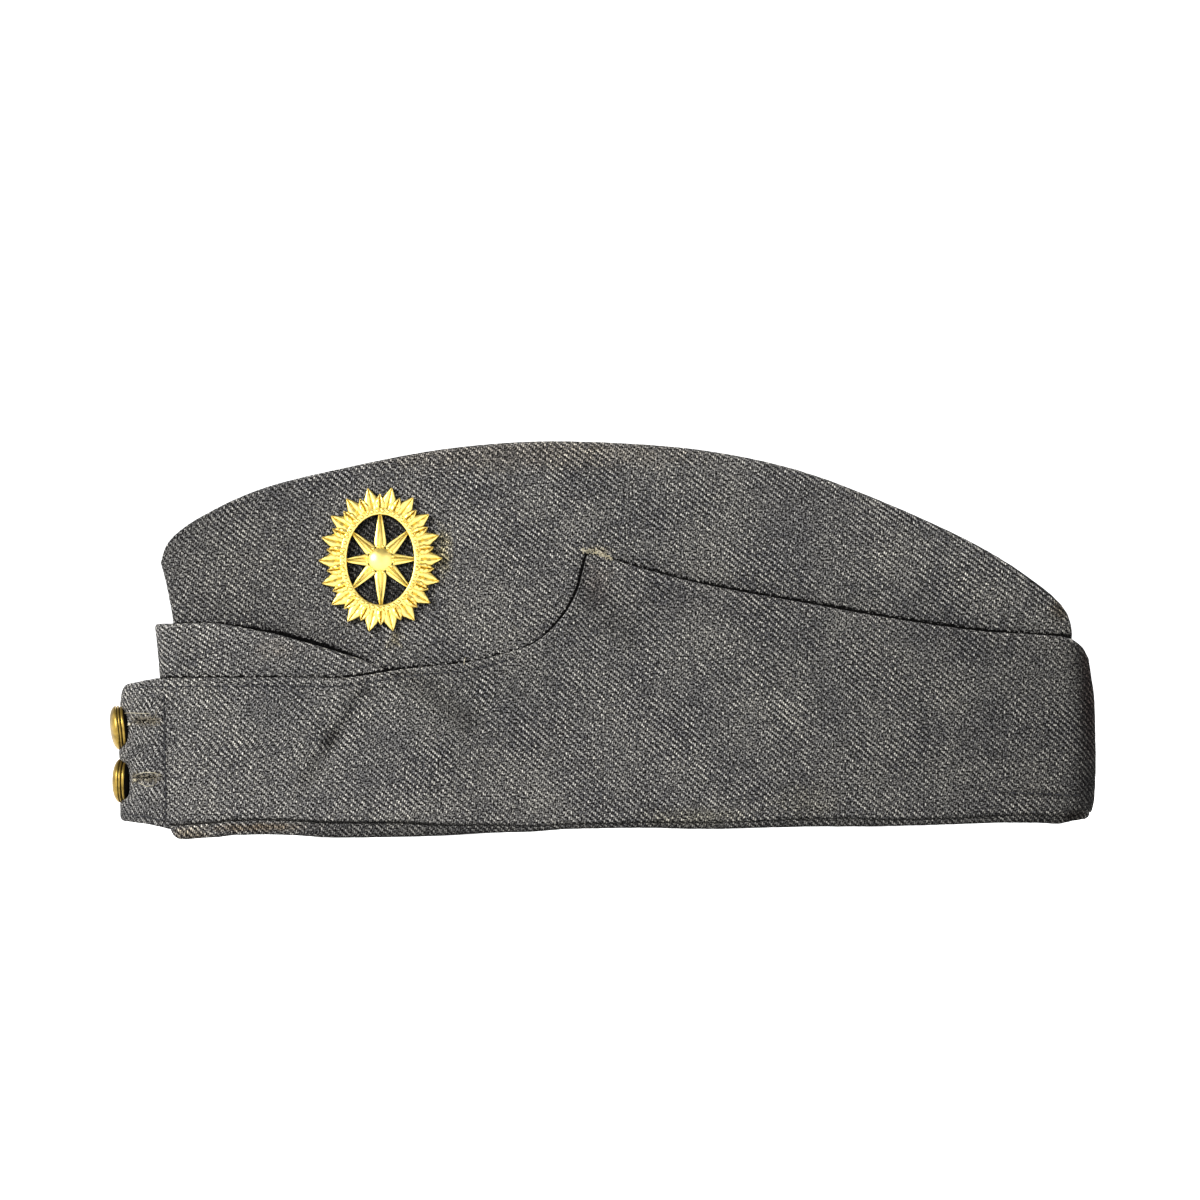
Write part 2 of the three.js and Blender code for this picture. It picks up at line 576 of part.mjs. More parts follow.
// The slit in the left side panel that the slider goes through
function withSlit(geometry, frame) {
  const { width, thickness, slitClear } = SLIDER;
  const slit = new THREE.BoxGeometry(width + 2 * slitClear, thickness + 2 * slitClear, 4 * CROWN_CLOTH);
  slit.translate(0, -HOOP.halfHeight, 0).applyMatrix4(frame);
  return toGeometry(toSolid(geometry).subtract(toSolid(slit)));
}

const sergeMaterial = () => new THREE.MeshStandardMaterial({ color: COLOURS.serge, roughness: 0.95 });
const metalMaterial = (color, roughness) =>
  new THREE.MeshStandardMaterial({ color, roughness, metalness: 1 });

const cap = new THREE.Group();
function add(name, geometry, material) {
  const mesh = new THREE.Mesh(geometry, material);
  mesh.name = name;
  cap.add(mesh);
  return mesh;
}

const seat = badgeSeat();
add("crown_panel_left", withSlit(crownPanel(), seat.frame), sergeMaterial());
add("crown_panel_right", mirrored(crownPanel()), sergeMaterial());
add("crown_gusset", gusset(), sergeMaterial());
add("peak", peak(), sergeMaterial());
add("curtain_left", toGeometry(withButtonholes(curtain(true, LEFT_CREASES))), sergeMaterial());
add("curtain_right", mirrored(curtain(false, RIGHT_CREASES)), sergeMaterial());
for (const button of BUTTONS) {
  const mesh = add(button.name, buttonGeometry(button.turn, button.lean), metalMaterial(COLOURS.brass, 0.45));
  mesh.position.set(BUTTON.seat, BUTTON.y, button.z);
}

const badgeReach = seat.stand + CROWN_CLOTH + SLIDER.clear;
const badge = add("badge", badgeGeometry(badgeReach), metalMaterial(COLOURS.gilding, 0.35));
badge.quaternion.setFromRotationMatrix(seat.frame);
badge.position.setFromMatrixPosition(seat.frame);

// The origin is the middle of the cap's own box, on the surface that it stands on
const box = new THREE.Box3().setFromObject(cap, true);
const middle = box.getCenter(new THREE.Vector3());
cap.position.set(-middle.x, -middle.y, -box.min.z);

export default cap;
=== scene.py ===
# %% [markdown]
# # A garrison cap in blue-grey serge
# A garrison cap is a soft service cap that folds flat. Two side panels and a top gusset make the
# crown, a curtain is turned up all round it and buttoned at the front, and a small cloth peak is
# folded up between the two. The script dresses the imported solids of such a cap. Each cloth piece
# could be a subdivided CAD solid, but those are too coarse for woven cloth, so every piece is drawn
# again as a fine grid on the same pattern and takes the place of its solid.

# %% Load the frame
import math
import random
from bisect import bisect_right

import bmesh
import bpy
from mathutils import Matrix, Vector, kdtree, noise


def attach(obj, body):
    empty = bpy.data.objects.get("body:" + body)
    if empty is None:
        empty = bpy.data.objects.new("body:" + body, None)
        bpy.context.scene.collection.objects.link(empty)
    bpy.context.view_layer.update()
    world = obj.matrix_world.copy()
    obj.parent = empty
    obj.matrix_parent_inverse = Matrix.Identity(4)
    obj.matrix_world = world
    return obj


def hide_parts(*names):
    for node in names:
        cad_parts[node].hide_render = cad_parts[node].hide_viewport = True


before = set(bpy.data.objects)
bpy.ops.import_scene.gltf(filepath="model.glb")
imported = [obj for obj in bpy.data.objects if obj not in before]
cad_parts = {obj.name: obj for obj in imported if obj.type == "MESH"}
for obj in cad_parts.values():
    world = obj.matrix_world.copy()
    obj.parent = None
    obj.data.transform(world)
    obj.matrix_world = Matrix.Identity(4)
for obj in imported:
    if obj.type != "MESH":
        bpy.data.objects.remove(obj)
noise.seed_set(11)  # left alone, noise_vector is seeded by the clock
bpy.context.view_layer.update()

# %% [markdown]
# ## Units and a few curves
# A tailor works in millimetres, so the pattern does too, and one function moves a point to metres in
# the cap's frame. The front of the cap is -X, its left side is -Y. Curves through measured points
# could be splines with handles; a monotone cubic is used, since it never swings past its points.

# %% Units and curves
MM = 0.001
PATTERN_SHIFT = -1.458  # the pattern is drawn from another origin than the frame's, mm along X


def to_frame(x, y, z):
    return Vector(((x + PATTERN_SHIFT) * MM, y * MM, z * MM))


def mix(a, b, t):
    return a + (b - a) * t


def clamp01(t):
    return min(1.0, max(0.0, t))


def smooth_step(a, b, t):
    s = clamp01((t - a) / (b - a))
    return s * s * (3 - 2 * s)


def angle_where(place_of, place, halvings):
    """The angle from 0 to pi at which place_of(angle), which grows, has come to a place."""
    low, high = 0.0, math.pi
    for _ in range(halvings):
        middle = (low + high) / 2
        if place_of(middle) < place:
            low = middle
        else:
            high = middle
    return low


def through(points):
    """A smooth function through (place, value) points that never overshoots them."""
    places = [p for p, _ in points]
    values = [v for _, v in points]
    last = len(points) - 1
    slopes = [(values[i + 1] - values[i]) / (places[i + 1] - places[i]) for i in range(last)]
    tangents = [slopes[0]]
    for before, after in zip(slopes, slopes[1:]):
        product = before * after
        tangents.append(0 if product <= 0 else 2 * product / (before + after))
    tangents.append(slopes[-1])

    def value_at(place):
        if place <= places[0]:
            return values[0]
        if place >= places[last]:
            return values[last]
        i = bisect_right(places, place) - 1
        h = places[i + 1] - places[i]
        t = (place - places[i]) / h
        left = (1 + 2 * t) * (1 - t) ** 2 * values[i] + t * (1 - t) ** 2 * h * tangents[i]
        right = t * t * (3 - 2 * t) * values[i + 1] + t * t * (t - 1) * h * tangents[i + 1]
        return left + right

    return value_at


# %% [markdown]
# ## The pattern of the crown
# On the real cap each side panel is cut flat, with a curved upper edge, and bends round the head. It
# could be lofted between two curves; here a point of the panel is found from its angle round the
# head and its share of the way from the rim to the ridge, which keeps the grid's columns upright.

# %% The crown's pattern
# Thickness of each piece's cloth, with that of the curtain's fold under the crown
CROWN_CLOTH, GUSSET_CLOTH, CURTAIN_CLOTH, PEAK_CLOTH, FOLD_CLOTH = 2.0, 1.5, 2.8, 2.4, 2.4
SEAM_GAP = 0.3
CROWN_FRONT, CROWN_BACK = -125.0, 141.0
CROWN_RIM_HALF, CROWN_RIDGE_HALF, CROWN_BELLY = 24.0, 6.5, 0.8
RIDGE = [
    (-130.5, 84.0), (-127.7, 90.3), (-118.2, 97.1), (-100.0, 104.8), (-73.0, 110.8),
    (-46.0, 115.3), (-19.0, 117.1), (8.0, 116.2), (35.0, 113.3), (62.0, 107.1),
    (89.0, 96.6), (115.9, 83.7), (134.1, 71.5), (141.4, 63.9), (142.9, 57.5),
]
RIM_LIFT = [  # how far the folded rim bows up off the table along the cap
    (-126, 0.4), (-121, 0.7), (-117, 0.8), (-111, 1.4), (-102, 1.4), (-93, 1.0), (-81, 0.15),
    (-69, 0.0), (-57, 0.0), (-45, 0.25), (-33, 0.7), (-21, 0.8), (-9, 1.4), (3, 1.45), (15, 1.35),
    (27, 0.85), (39, 0.65), (63, 0.8), (87, 0.5), (111, 0.65), (123, 0.85), (135, 0.6), (142, 0.2),
    (146, 0.9), (149, 1.3),
]
ridge_height = through(RIDGE)
rim_lift = through(RIM_LIFT)


def spline_point(points, t):
    """A point of the uniform Catmull-Rom curve through points, t from 0 to 1."""
    last = len(points) - 1
    span = min(int(t * last), last - 1)
    w = t * last - span
    p0, p1, p2, p3 = (Vector(points[min(max(span + k, 0), last)]) for k in (-1, 0, 1, 2))
    v0, v1 = (p2 - p0) / 2, (p3 - p1) / 2
    return (2 * (p1 - p2) + v0 + v1) * w**3 + (3 * (p2 - p1) - 2 * v0 - v1) * w**2 + v0 * w + p1


RIDGE_STEPS = 600
ridge_samples = [spline_point(RIDGE, i / RIDGE_STEPS) for i in range(RIDGE_STEPS + 1)]
ridge_run = [0.0]
for before, after in zip(ridge_samples, ridge_samples[1:]):
    ridge_run.append(ridge_run[-1] + (after - before).length)
print("ridge length in mm:", round(ridge_run[-1], 1))


def ridge_at(share):
    wanted = clamp01(share) * ridge_run[-1]
    i = min(bisect_right(ridge_run, wanted), RIDGE_STEPS) - 1
    part = (wanted - ridge_run[i]) / (ridge_run[i + 1] - ridge_run[i])
    return ridge_samples[i].lerp(ridge_samples[i + 1], part)


def crown_point(angle, rise, inset=0.0):
    """The crown's left side: angle 0 at the front seam, pi at the back; rise 0 at rim, 1 at ridge."""
    along = (1 - math.cos(angle)) / 2
    round_ = max(0.0, math.sin(angle))
    ridge = ridge_at(along)
    rim_x = mix(CROWN_FRONT + inset, CROWN_BACK - inset, along)
    ridge_x = ridge.x + inset * math.cos(angle)
    rim_z = FOLD_CLOTH + 2 * SEAM_GAP + rim_lift(rim_x)
    rim_half = (CROWN_RIM_HALF - inset) * round_
    half = mix(rim_half, (CROWN_RIDGE_HALF - inset) * math.sqrt(round_), rise)
    belly = CROWN_BELLY * round_ * math.sin(math.pi * clamp01(rise))
    y = -(SEAM_GAP / 2 + half + belly)
    return Vector((mix(rim_x, ridge_x, max(rise, 0.0) ** 4), y, mix(rim_z, ridge.y, rise)))


def crown_at_height(angle, z):
    rim = crown_point(angle, 0).z
    ridge = crown_point(angle, 1).z
    return crown_point(angle, clamp01((z - rim) / (ridge - rim)))


def crown_at(x, z):
    """The crown's outer face at a place seen from the side."""
    return crown_at_height(angle_where(lambda angle: crown_at_height(angle, z).x, x, 30), z)


# %% [markdown]
# ## The pattern of the curtain
# The curtain is one long strip, turned up from the rim and lapped at the front, where the left end
# lies over the right. Its upper edge sweeps up to a step at the middle and falls away to the back.
# It could be a copy of the crown pushed outwards, but a pattern of its own follows that edge better.

# %% The curtain's pattern
CURTAIN_RIM_HALF, CURTAIN_STAND, CURTAIN_BLUNT = 28.6, 4.5, 0.8
OVER_PEAK, LEAST_RIDGE = 3.9, 104
CURTAIN_FRONT = [
    (0, -142.8), (8, -143.8), (22, -143.8), (36, -143.6), (44, -142.8), (48.5, -141.2), (57, -140.6),
]
CURTAIN_BACK = [
    (0, 146.6), (8, 148.7), (22, 149.3), (36, 149.2), (44, 148.4), (48.5, 147.8), (57, 147.4),
]
CURTAIN_TOP = [
    (-144.0, 47.2), (-134.0, 48.7), (-100.0, 48.4), (-80.0, 47.9), (-59.0, 50.3), (-39.5, 52.0),
    (-29.0, 54.3), (-22.0, 56.3), (-17.4, 58.8), (-13.6, 62.2), (-9.0, 67.6), (-6.0, 73.4),
    (-4.3, 79.0), (-3.5, 82.2), (-2.8, 83.4), (0.0, 83.2), (2.6, 82.7), (5.0, 81.8), (16.5, 78.2),
    (31.0, 74.3), (48.7, 70.6), (61.0, 68.3), (91.0, 62.5),
    (121.0, 58.0), (138.0, 56.7), (144.0, 55.9), (147.5, 53.6), (149.3, 50.0),
]
TAB_BOTTOM = [(-144.0, 6.1), (-136.0, 4.9), (-128.0, 3.2), (-120.0, 3.0)]
# Height above the rim of the line where the curtain's face meets the turned lower edge
ROLL_HEIGHT = [
    (-127, 4.2), (-80, 4.4), (-60, 4.2), (-48, 3.1), (-30, 2.2), (-15, 1.5), (0, 1.4), (30, 1.8),
    (50, 2.1), (75, 2.4), (90, 1.8), (105, 1.8), (130, 2.2), (149, 2.0),
]
TAB_END, FOLD_START, OVERLAP_INSET = -131.5, -129.9, 3.4
OVERLAP_BLEND = (-127, -119)
PEAK_ROOM_END = (-62, -8)
LEFT_CREASES = [  # x0, z0, x1, z1, depth, width
    (-69, 44, -80, 28, 1.5, 1.7),
    (-79, 29.5, -87, 17, 1.3, 2.6),
    (-57, 49.5, -37, 34, 1.8, 4.0),
    (-1, 71, 11, 59, 1.2, 5),
]
RIGHT_CREASES = [(-74, 42, -88, 22, 1.0, 5), (-8, 66, 6, 50, 0.8, 7)]
BUTTON_SEATS = {"upper": (-141.7, -0.6, 34.2), "lower": (-141.1, -0.6, 18.1)}
BUTTON_FLAT = (5.7, 0.24)  # how far the cloth is pressed flat behind a button, in z and in angle

curtain_front = through(CURTAIN_FRONT)
curtain_back = through(CURTAIN_BACK)
curtain_top = through(CURTAIN_TOP)
tab_bottom = through(TAB_BOTTOM)
roll_height = through(ROLL_HEIGHT)
HALF_WAY_UP = 30
CURTAIN_MIDDLE = (curtain_front(HALF_WAY_UP) + curtain_back(HALF_WAY_UP)) / 2
CURTAIN_REACH = (curtain_back(HALF_WAY_UP) - curtain_front(HALF_WAY_UP)) / 2
BACK_SEAM_HALF = 0.02  # the two halves of the curtain stay this far off the middle at the back


def angle_at(x):
    return math.acos(max(-1.0, min(1.0, (CURTAIN_MIDDLE - x) / CURTAIN_REACH)))


def place_at(angle):
    return CURTAIN_MIDDLE - CURTAIN_REACH * math.cos(angle)


def front_at(angle, z):
    reach, spread = BUTTON_FLAT
    front = curtain_front(z)
    for x, _, height in BUTTON_SEATS.values():
        front = mix(front, x, math.exp(-(((z - height) / reach) ** 8) - (angle / spread) ** 2))
    return front


def crease_depth(x, z, creases):
    total = 0.0
    for x0, z0, x1, z1, depth, width in creases:
        run_x, run_z = x1 - x0, z1 - z0
        share = clamp01(((x - x0) * run_x + (z - z0) * run_z) / (run_x**2 + run_z**2))
        distance = math.hypot(x - x0 - share * run_x, z - z0 - share * run_z)
        total += depth * math.exp(-((distance / width) ** 2))
    return total


def peak_room(x):
    return OVER_PEAK * (1 - smooth_step(*PEAK_ROOM_END, x))


def curtain_point(angle, z, inset, dent=0.0):
    """The curtain's loop: angle 0 at the nose, pi at the back, negative on the lap past the nose."""
    front = front_at(angle, z) + inset
    back = curtain_back(z) - inset
    x = mix(front, back, (1 - math.cos(angle)) / 2)
    round_ = abs(math.sin(angle)) ** CURTAIN_BLUNT
    rise = clamp01(z / max(ridge_height(x), LEAST_RIDGE))
    half = mix(CURTAIN_RIM_HALF, CROWN_RIDGE_HALF + CURTAIN_STAND, rise) + peak_room(x) - inset
    y = (half - dent) * round_
    if angle > math.pi / 2:
        y = max(y, BACK_SEAM_HALF)
    return Vector((x, y if angle < 0 else -y, z))


# %% [markdown]
# ## Cloth as a closed grid
# Thick cloth shows its rolled edges, so a piece is a tube of grid: up the outer face, over the
# rounded edge and down the inner one. Solidify could thicken a single sheet, but its rim is square.
# The weave needs to know how far it is along and up the cloth, so each vertex also gets its distance
# in millimetres both ways, measured over the surface as a tape would, and stored as the UV map.

# %% Helpers that make a closed piece of cloth
TAPE_ROW = 40  # the row of a side panel or a curtain from which its heights are measured
UNEVEN_DEPTH, UNEVEN_PER_MM = 0.09, 0.55  # no cloth is quite smooth: mm, and waves in each mm
OPEN = -9.0  # mm behind an edge, for cloth that lies in the open


def unworn_unshaded(i, j):
    """How much paler or darker the colour is made, by rubbing, darker seams and painted highlight and
    shade, and how many mm the cloth lies back from an edge, which sets its painted shadow.
    """
    return 0.0, OPEN


def add_object(name, data):
    made = bpy.data.objects.new(name, data)
    bpy.context.scene.collection.objects.link(made)
    return made


def tape_along(line, start, zero, length_of):
    """Readings of a tape laid along a line of points, with the value zero at point number start."""
    reading = [zero] * len(line)
    for k in range(start, len(line) - 1):
        reading[k + 1] = reading[k] + length_of(line[k + 1] - line[k])
    for k in range(start, 0, -1):
        reading[k - 1] = reading[k] - length_of(line[k - 1] - line[k])
    return reading


def woven_piece(name, columns, rows, place, start, side=1, tone_and_shadow_at=unworn_unshaded):
    """A grid with a vertex at place(column, row), closed round its rows and at both ends."""
    mesh = bmesh.new()
    weave = mesh.loops.layers.uv.new("weave")
    # Per vertex: the tone from rubbing, darker seams and painted highlight and shade, and how many mm the
    # cloth lies back from an edge, which paints its shadow
    wear_and_painted_light = mesh.verts.layers.float.new("wear_and_painted_light")
    painted_gap_shadow = mesh.verts.layers.float.new("painted_gap_shadow")
    bmesh.ops.create_grid(mesh, x_segments=columns, y_segments=rows, size=1)
    spots = [[place(i, j) for j in range(rows + 1)] for i in range(columns + 1)]
    first, base = start
    tape_u = [
        tape_along(row, first, row[first].x, lambda step: math.hypot(step.x, step.y))
        for row in zip(*spots)
    ]
    tape_v = [
        tape_along(column, base, column[base].z, lambda step: math.hypot(step.y, step.z))
        for column in spots
    ]
    cell = {}
    for vertex in mesh.verts:
        i = round((vertex.co.x + 1) / 2 * columns)
        j = round((vertex.co.y + 1) / 2 * rows)
        cell[vertex.index] = (i, j)
    for face in mesh.faces:
        face.smooth = True
        for loop in face.loops:
            i, j = cell[loop.vert.index]
            loop[weave].uv = (side * tape_u[j][i], tape_v[i][j])
    for vertex in mesh.verts:
        i, j = cell[vertex.index]
        spot = spots[i][j] + UNEVEN_DEPTH * noise.noise_vector(spots[i][j] * UNEVEN_PER_MM)
        spot.z = max(spot.z, 0.0)
        vertex[wear_and_painted_light], vertex[painted_gap_shadow] = tone_and_shadow_at(i, j)
        vertex.co = to_frame(spot.x, side * spot.y, spot.z)
    bmesh.ops.remove_doubles(mesh, verts=mesh.verts, dist=2e-6)
    bmesh.ops.dissolve_degenerate(mesh, edges=mesh.edges, dist=1e-6)
    bmesh.ops.holes_fill(mesh, edges=[edge for edge in mesh.edges if edge.is_boundary], sides=0)
    bmesh.ops.recalc_face_normals(mesh, faces=mesh.faces)
    return finish_mesh(name, mesh)


def turn_grain(piece, degrees, from_x=-999, to_x=999):
    """Cuts the part of a piece between two places at another angle to the weave."""
    weave = piece.data.uv_layers["weave"].data
    turn = Matrix.Rotation(math.radians(degrees), 2)
    for face in piece.data.polygons:
        if from_x < face.center.x / MM - PATTERN_SHIFT < to_x:
            for loop in face.loop_indices:
                weave[loop].uv = turn @ weave[loop].uv


def end_pull(distance, reach):
    """How far the two faces of a piece draw together near its end, from 0 to nearly 1."""
    return 0.92 * (1 - math.sqrt(1 - (1 - clamp01(distance / reach)) ** 2))


def finish_mesh(name, mesh):
    """Writes a bmesh to a new object that sits at the origin."""
    open_edges = sum(1 for edge in mesh.edges if not edge.is_manifold)
    if mesh.calc_volume(signed=True) < 0:
        bmesh.ops.reverse_faces(mesh, faces=mesh.faces)
    volume = round(mesh.calc_volume() * 1e6, 2)
    print(name, len(mesh.faces), "faces,", open_edges, "open edges,", volume, "cm3")
    data = bpy.data.meshes.new(name)
    mesh.to_mesh(data)
    mesh.free()
    return add_object(name, data)


def band_section(outer_rows, inner_rows, edge_rows, cloth):
    """Rows of a plain band from its foot: share of the height, lift beyond it, inset from the face."""
    half = cloth / 2
    rows = [(j / outer_rows, 0.0, 0.0) for j in range(outer_rows + 1)]
    for k in range(1, edge_rows):
        turn = math.pi * k / edge_rows
        rows.append((1.0, half * math.sin(turn), half * (1 - math.cos(turn))))
    rows += [(1 - j / inner_rows, 0.0, cloth) for j in range(inner_rows + 1)]
    for k in range(1, edge_rows):
        turn = math.pi * k / edge_rows
        rows.append((0.0, -half * math.sin(turn), half * (1 + math.cos(turn))))
    return rows + [rows[0]]


# %% [markdown]
# ## Crown side panels
# Two panels of serge meet at the front and back seams and turn over at the ridge. Worn cloth is
# never quite flat. It could be sculpted or simulated, but the slack here is slight and has to stay
# clear of the badge, so a slow noise presses the face in by less than a millimetre.

# %% Crown side panels
BADGE_X, BADGE_Z = -64.2, 82.9
PEAK_TOP = [
    (-132.0, 65.0), (-119.0, 65.0), (-101.0, 62.0), (-89.0, 58.5), (-80.0, 55.6), (-68.0, 51.0),
    (-57.0, 42.0), (-46.0, 24.0),
]
peak_top = through(PEAK_TOP)
PEAK_SHOWS_TO = -58  # from here to the back the curtain hides the peak
# How far the painted shadow behind the covering edge reaches up the crown
GAP_REACH = [
    (-132, 0.1), (-121, 0.3), (-112, 0.6), (-104, 1.2), (-95, 1.8), (-86, 2.2), (-76, 2.0),
    (-67, 1.5), (-61, 0.6), (-56, 0.45), (-44, 0.25), (-36, 0.05), (-20, -0.1), (-13.6, 0.0),
    (-9, 0.1), (-6, 0.3), (-4.3, 0.7), (-3.2, 1.0), (2.5, 0.9), (6, 0.6), (13, 0.75), (60, 0.75),
    (90, 0.65), (149, 0.4),
]
gap_reach = through(GAP_REACH)


def covered_to(x):
    """Height up to which the curtain and the peak cover the crown at a place along it."""
    return max(curtain_top(x), peak_top(x) if x < PEAK_SHOWS_TO else 0)


def slack(x, z, seed, depth):
    """How far worn cloth sinks in at a place, in mm."""
    broad = noise.noise(Vector((x / 46, z / 34, seed)))
    fine = noise.noise(Vector((x / 17, z / 13, seed + 7)))
    return depth * clamp01(0.45 + 0.8 * broad + 0.3 * fine)


def crown_piece(name, side, seed):
    columns, rows = 300, band_section(120, 20, 8, CROWN_CLOTH)
    half = CROWN_CLOTH / 2

    def bare_place(i, j):
        share, lift, inset = rows[j]
        angle = math.pi * i / columns
        tall = crown_point(angle, 1).z - crown_point(angle, 0).z
        height = mix(half, tall - half, share) + lift
        inset = mix(inset, half, end_pull(CROWN_RIM_HALF * math.sin(angle), 1.2))
        return crown_point(angle, height / tall, inset), angle, tall - height, inset, share

    def tone_and_shadow_at(i, j):
        spot, angle, _, inset, _ = bare_place(i, j)
        if inset > half:
            return 0.0, OPEN
        above = spot.z - covered_to(spot.x)
        # Darker along the back and front seams
        seam = math.exp(-(((math.pi - angle) / 0.09) ** 2)) + 0.4 * math.exp(-((angle / 0.05) ** 2))
        # Painted shadow: a soft shade on the crown just over the covering edge, and the crown is made
        # darker towards the front
        shade = 0.3 * max(0, gap_reach(spot.x)) * math.exp(-max(above, 0) / 3)
        shade += 0.2 * smooth_step(-65, -115, spot.x)
        if side == 1:  # painted shadow of the badge on the cloth inside its hoop
            hoop = math.hypot((spot.x - BADGE_X) / 11.5, (spot.z - BADGE_Z) / 15)
            shade += 0.72 * smooth_step(1.04, 0.94, hoop)
        # The second value paints a dark band of shadow on the crown over the curtain's and the peak's
        # edges
        return -0.55 * seam - shade, gap_reach(spot.x) - above

    def place(i, j):
        spot, angle, below_ridge, inset, share = bare_place(i, j)
        if inset < half:
            fade = math.sin(angle) * math.sin(math.pi * share)
            spot.y += slack(spot.x, spot.z, seed, 0.9) * fade
            gather = math.exp(-(below_ridge / 4.0) ** 2) * math.sin(angle)
            uneven = 2 * noise.noise(Vector((spot.x / 9, seed, 0)))
            spot.y += 0.35 * gather * math.sin(spot.x / 2.1 + uneven)
        return spot

    start = (columns // 2, TAPE_ROW)
    return woven_piece(name, columns, len(rows) - 1, place, start, side, tone_and_shadow_at)


crown_left = crown_piece("crown_left", 1, 3.1)
crown_right = crown_piece("crown_right", -1, 8.4)
for panel in (crown_left, crown_right):
    turn_grain(panel, -1.0)

# %% [markdown]
# ## Top gusset
# A narrow strip joins the two panels and folds down between them, so that the cap lies flat. It could
# be a simple trough; its fold deepens towards the middle and closes up at both ends, as it has to
# where the panels come together.

# %% Top gusset
GUSSET_START, GUSSET_END = 0.05, 0.95  # shares of the way from the front seam to the back one
GUSSET_DEPTH, GUSSET_END_DEPTH, VALLEY_HALF = 23.0, 5.0, 1.7
SEWN_IN = 0.1  # how far the gusset and the panels press into each other at their seams


def gusset_piece():
    columns, across, edge_rows = 220, 30, 6
    inset = CROWN_CLOTH - SEWN_IN
    turns = [k / edge_rows for k in range(1, edge_rows)]
    # Each row is (share across the fold, lift of the turned edge, share of the way to the underside)
    rows = [(mix(-1, 1, j / across), 0.0, 0.0) for j in range(across + 1)]
    rows += [(1.0, math.sin(math.pi * t), t) for t in turns]
    rows += [(mix(1, -1, j / across), 0.0, 1.0) for j in range(across + 1)]
    rows += [(-1.0, math.sin(math.pi * t), 1 - t) for t in turns]
    rows.append(rows[0])

    def place(i, j):
        across_share, lift, under = rows[j]
        angle = math.pi * mix(GUSSET_START, GUSSET_END, i / columns)
        side = abs(across_share)
        depth = mix(GUSSET_END_DEPTH, GUSSET_DEPTH, math.sin(angle)) * (1 - side)
        ridge = crown_point(angle, 1, inset)
        spot = crown_point(angle, 1 - depth / ridge.z, inset)
        top = -ridge.y
        rounded = math.sqrt(clamp01(9 * side))
        wall = mix(min(VALLEY_HALF, top), top, side) * rounded
        thin = max(wall - GUSSET_CLOTH * rounded, wall / 4)
        drop = GUSSET_CLOTH * under * (1 - rounded)
        z = spot.z - drop + 0.3 * GUSSET_CLOTH * lift
        return Vector((spot.x, math.copysign(mix(thin, wall, under), across_share), z))

    start = (columns // 2, across // 2)
    return woven_piece("crown_gusset_cloth", columns, len(rows) - 1, place, start)


crown_gusset = gusset_piece()

# %% [markdown]
# ## Folded peak
# The little peak is two layers of serge, folded up flat against the front of the crown, where only
# its upper edge shows over the curtain. It could be left as a strip, but its height runs out to
# nothing along each flank, so it is a crescent that follows the crown a cloth's thickness away.

# %% Folded peak
PEAK_END, PEAK_MIDDLE, PEAK_TAPE_ROW = 1.13, 40.0, 20
NOSE_CLEAR, FLANK_CLEAR, ABOVE_FOLD = 3.2, 0.6, 2.0  # how far it stands off the crown and the fold


def peak_piece():
    columns, rows = 240, band_section(46, 18, 8, PEAK_CLOTH)
    half = PEAK_CLOTH / 2

    def place(i, j):
        share, lift, inset = rows[j]
        turn = mix(-PEAK_END, PEAK_END, i / columns)
        angle = abs(turn)
        inset = mix(inset, half, end_pull(110 * (PEAK_END - angle), 2.5))
        middle = crown_at_height(angle, PEAK_MIDDLE)
        bottom = FOLD_CLOTH + ABOVE_FOLD + rim_lift(middle.x)
        top = peak_top(middle.x - NOSE_CLEAR)
        z = mix(bottom + half, top - half, share) + lift
        base = crown_at_height(angle, z)
        ahead = crown_at_height(angle + 0.01, z)
        out = Vector((ahead.y - base.y, base.x - ahead.x)).normalized()
        stand = mix(NOSE_CLEAR, FLANK_CLEAR, smooth_step(0, PEAK_END / 3, angle))
        offset = stand + PEAK_CLOTH - inset
        if angle < 1e-6:
            return Vector((base.x - offset, 0.0, z))
        x = base.x + offset * out.x
        y = base.y + offset * out.y
        return Vector((x, -y if turn < 0 else y, z))

    def tone_and_shadow_at(i, j):
        share, _, inset = rows[j]
        turn = math.acos(1 - 2 * inset / PEAK_CLOTH)
        if share < 0.5 or inset > PEAK_CLOTH - 0.01:
            return 0.0, OPEN
        spot = place(i, j)
        above_curtain = spot.z - curtain_top(spot.x)
        # Paler along the crest of the folded edge, rubbed and with a painted highlight; painted shade
        # over the top of the edge, and painted shadow on the peak just above the curtain's edge
        pale = 0.16 * math.exp(-(((1 - share) * 40 / 2.2) ** 2)) if turn < 0.1 else 0.1
        return pale - 0.7 * smooth_step(1.6, 2.8, turn), 0.55 - above_curtain

    start = (columns // 2, PEAK_TAPE_ROW)
    return woven_piece("peak_cloth", columns, len(rows) - 1, place, start, 1, tone_and_shadow_at)


peak = peak_piece()
turn_grain(peak, -6.0)

# %% [markdown]
# ## Where the curtain is stitched
# A row of stitches runs about 2.5 mm inside the curtain's upper edge as far as the step, another
# holds the hem of the lap, and one closes its lower edge. Stitches could be only a dark line in the
# colour; here each line is a path on the pattern, so that it can sink the cloth and carry threads.

# %% Stitch lines
STITCH_INSET = 2.5
PLACKET_X = -129.9
PATH_STEP = 0.25


def top_stitch_path(start, end):
    path = []
    for k in range(int((end - start) / PATH_STEP) + 1):
        x = start + k * PATH_STEP
        slope = (curtain_top(x + 0.05) - curtain_top(x - 0.05)) / 0.1
        reach = STITCH_INSET / math.hypot(1, slope)
        path.append((x + reach * slope, curtain_top(x) - reach))
    return path


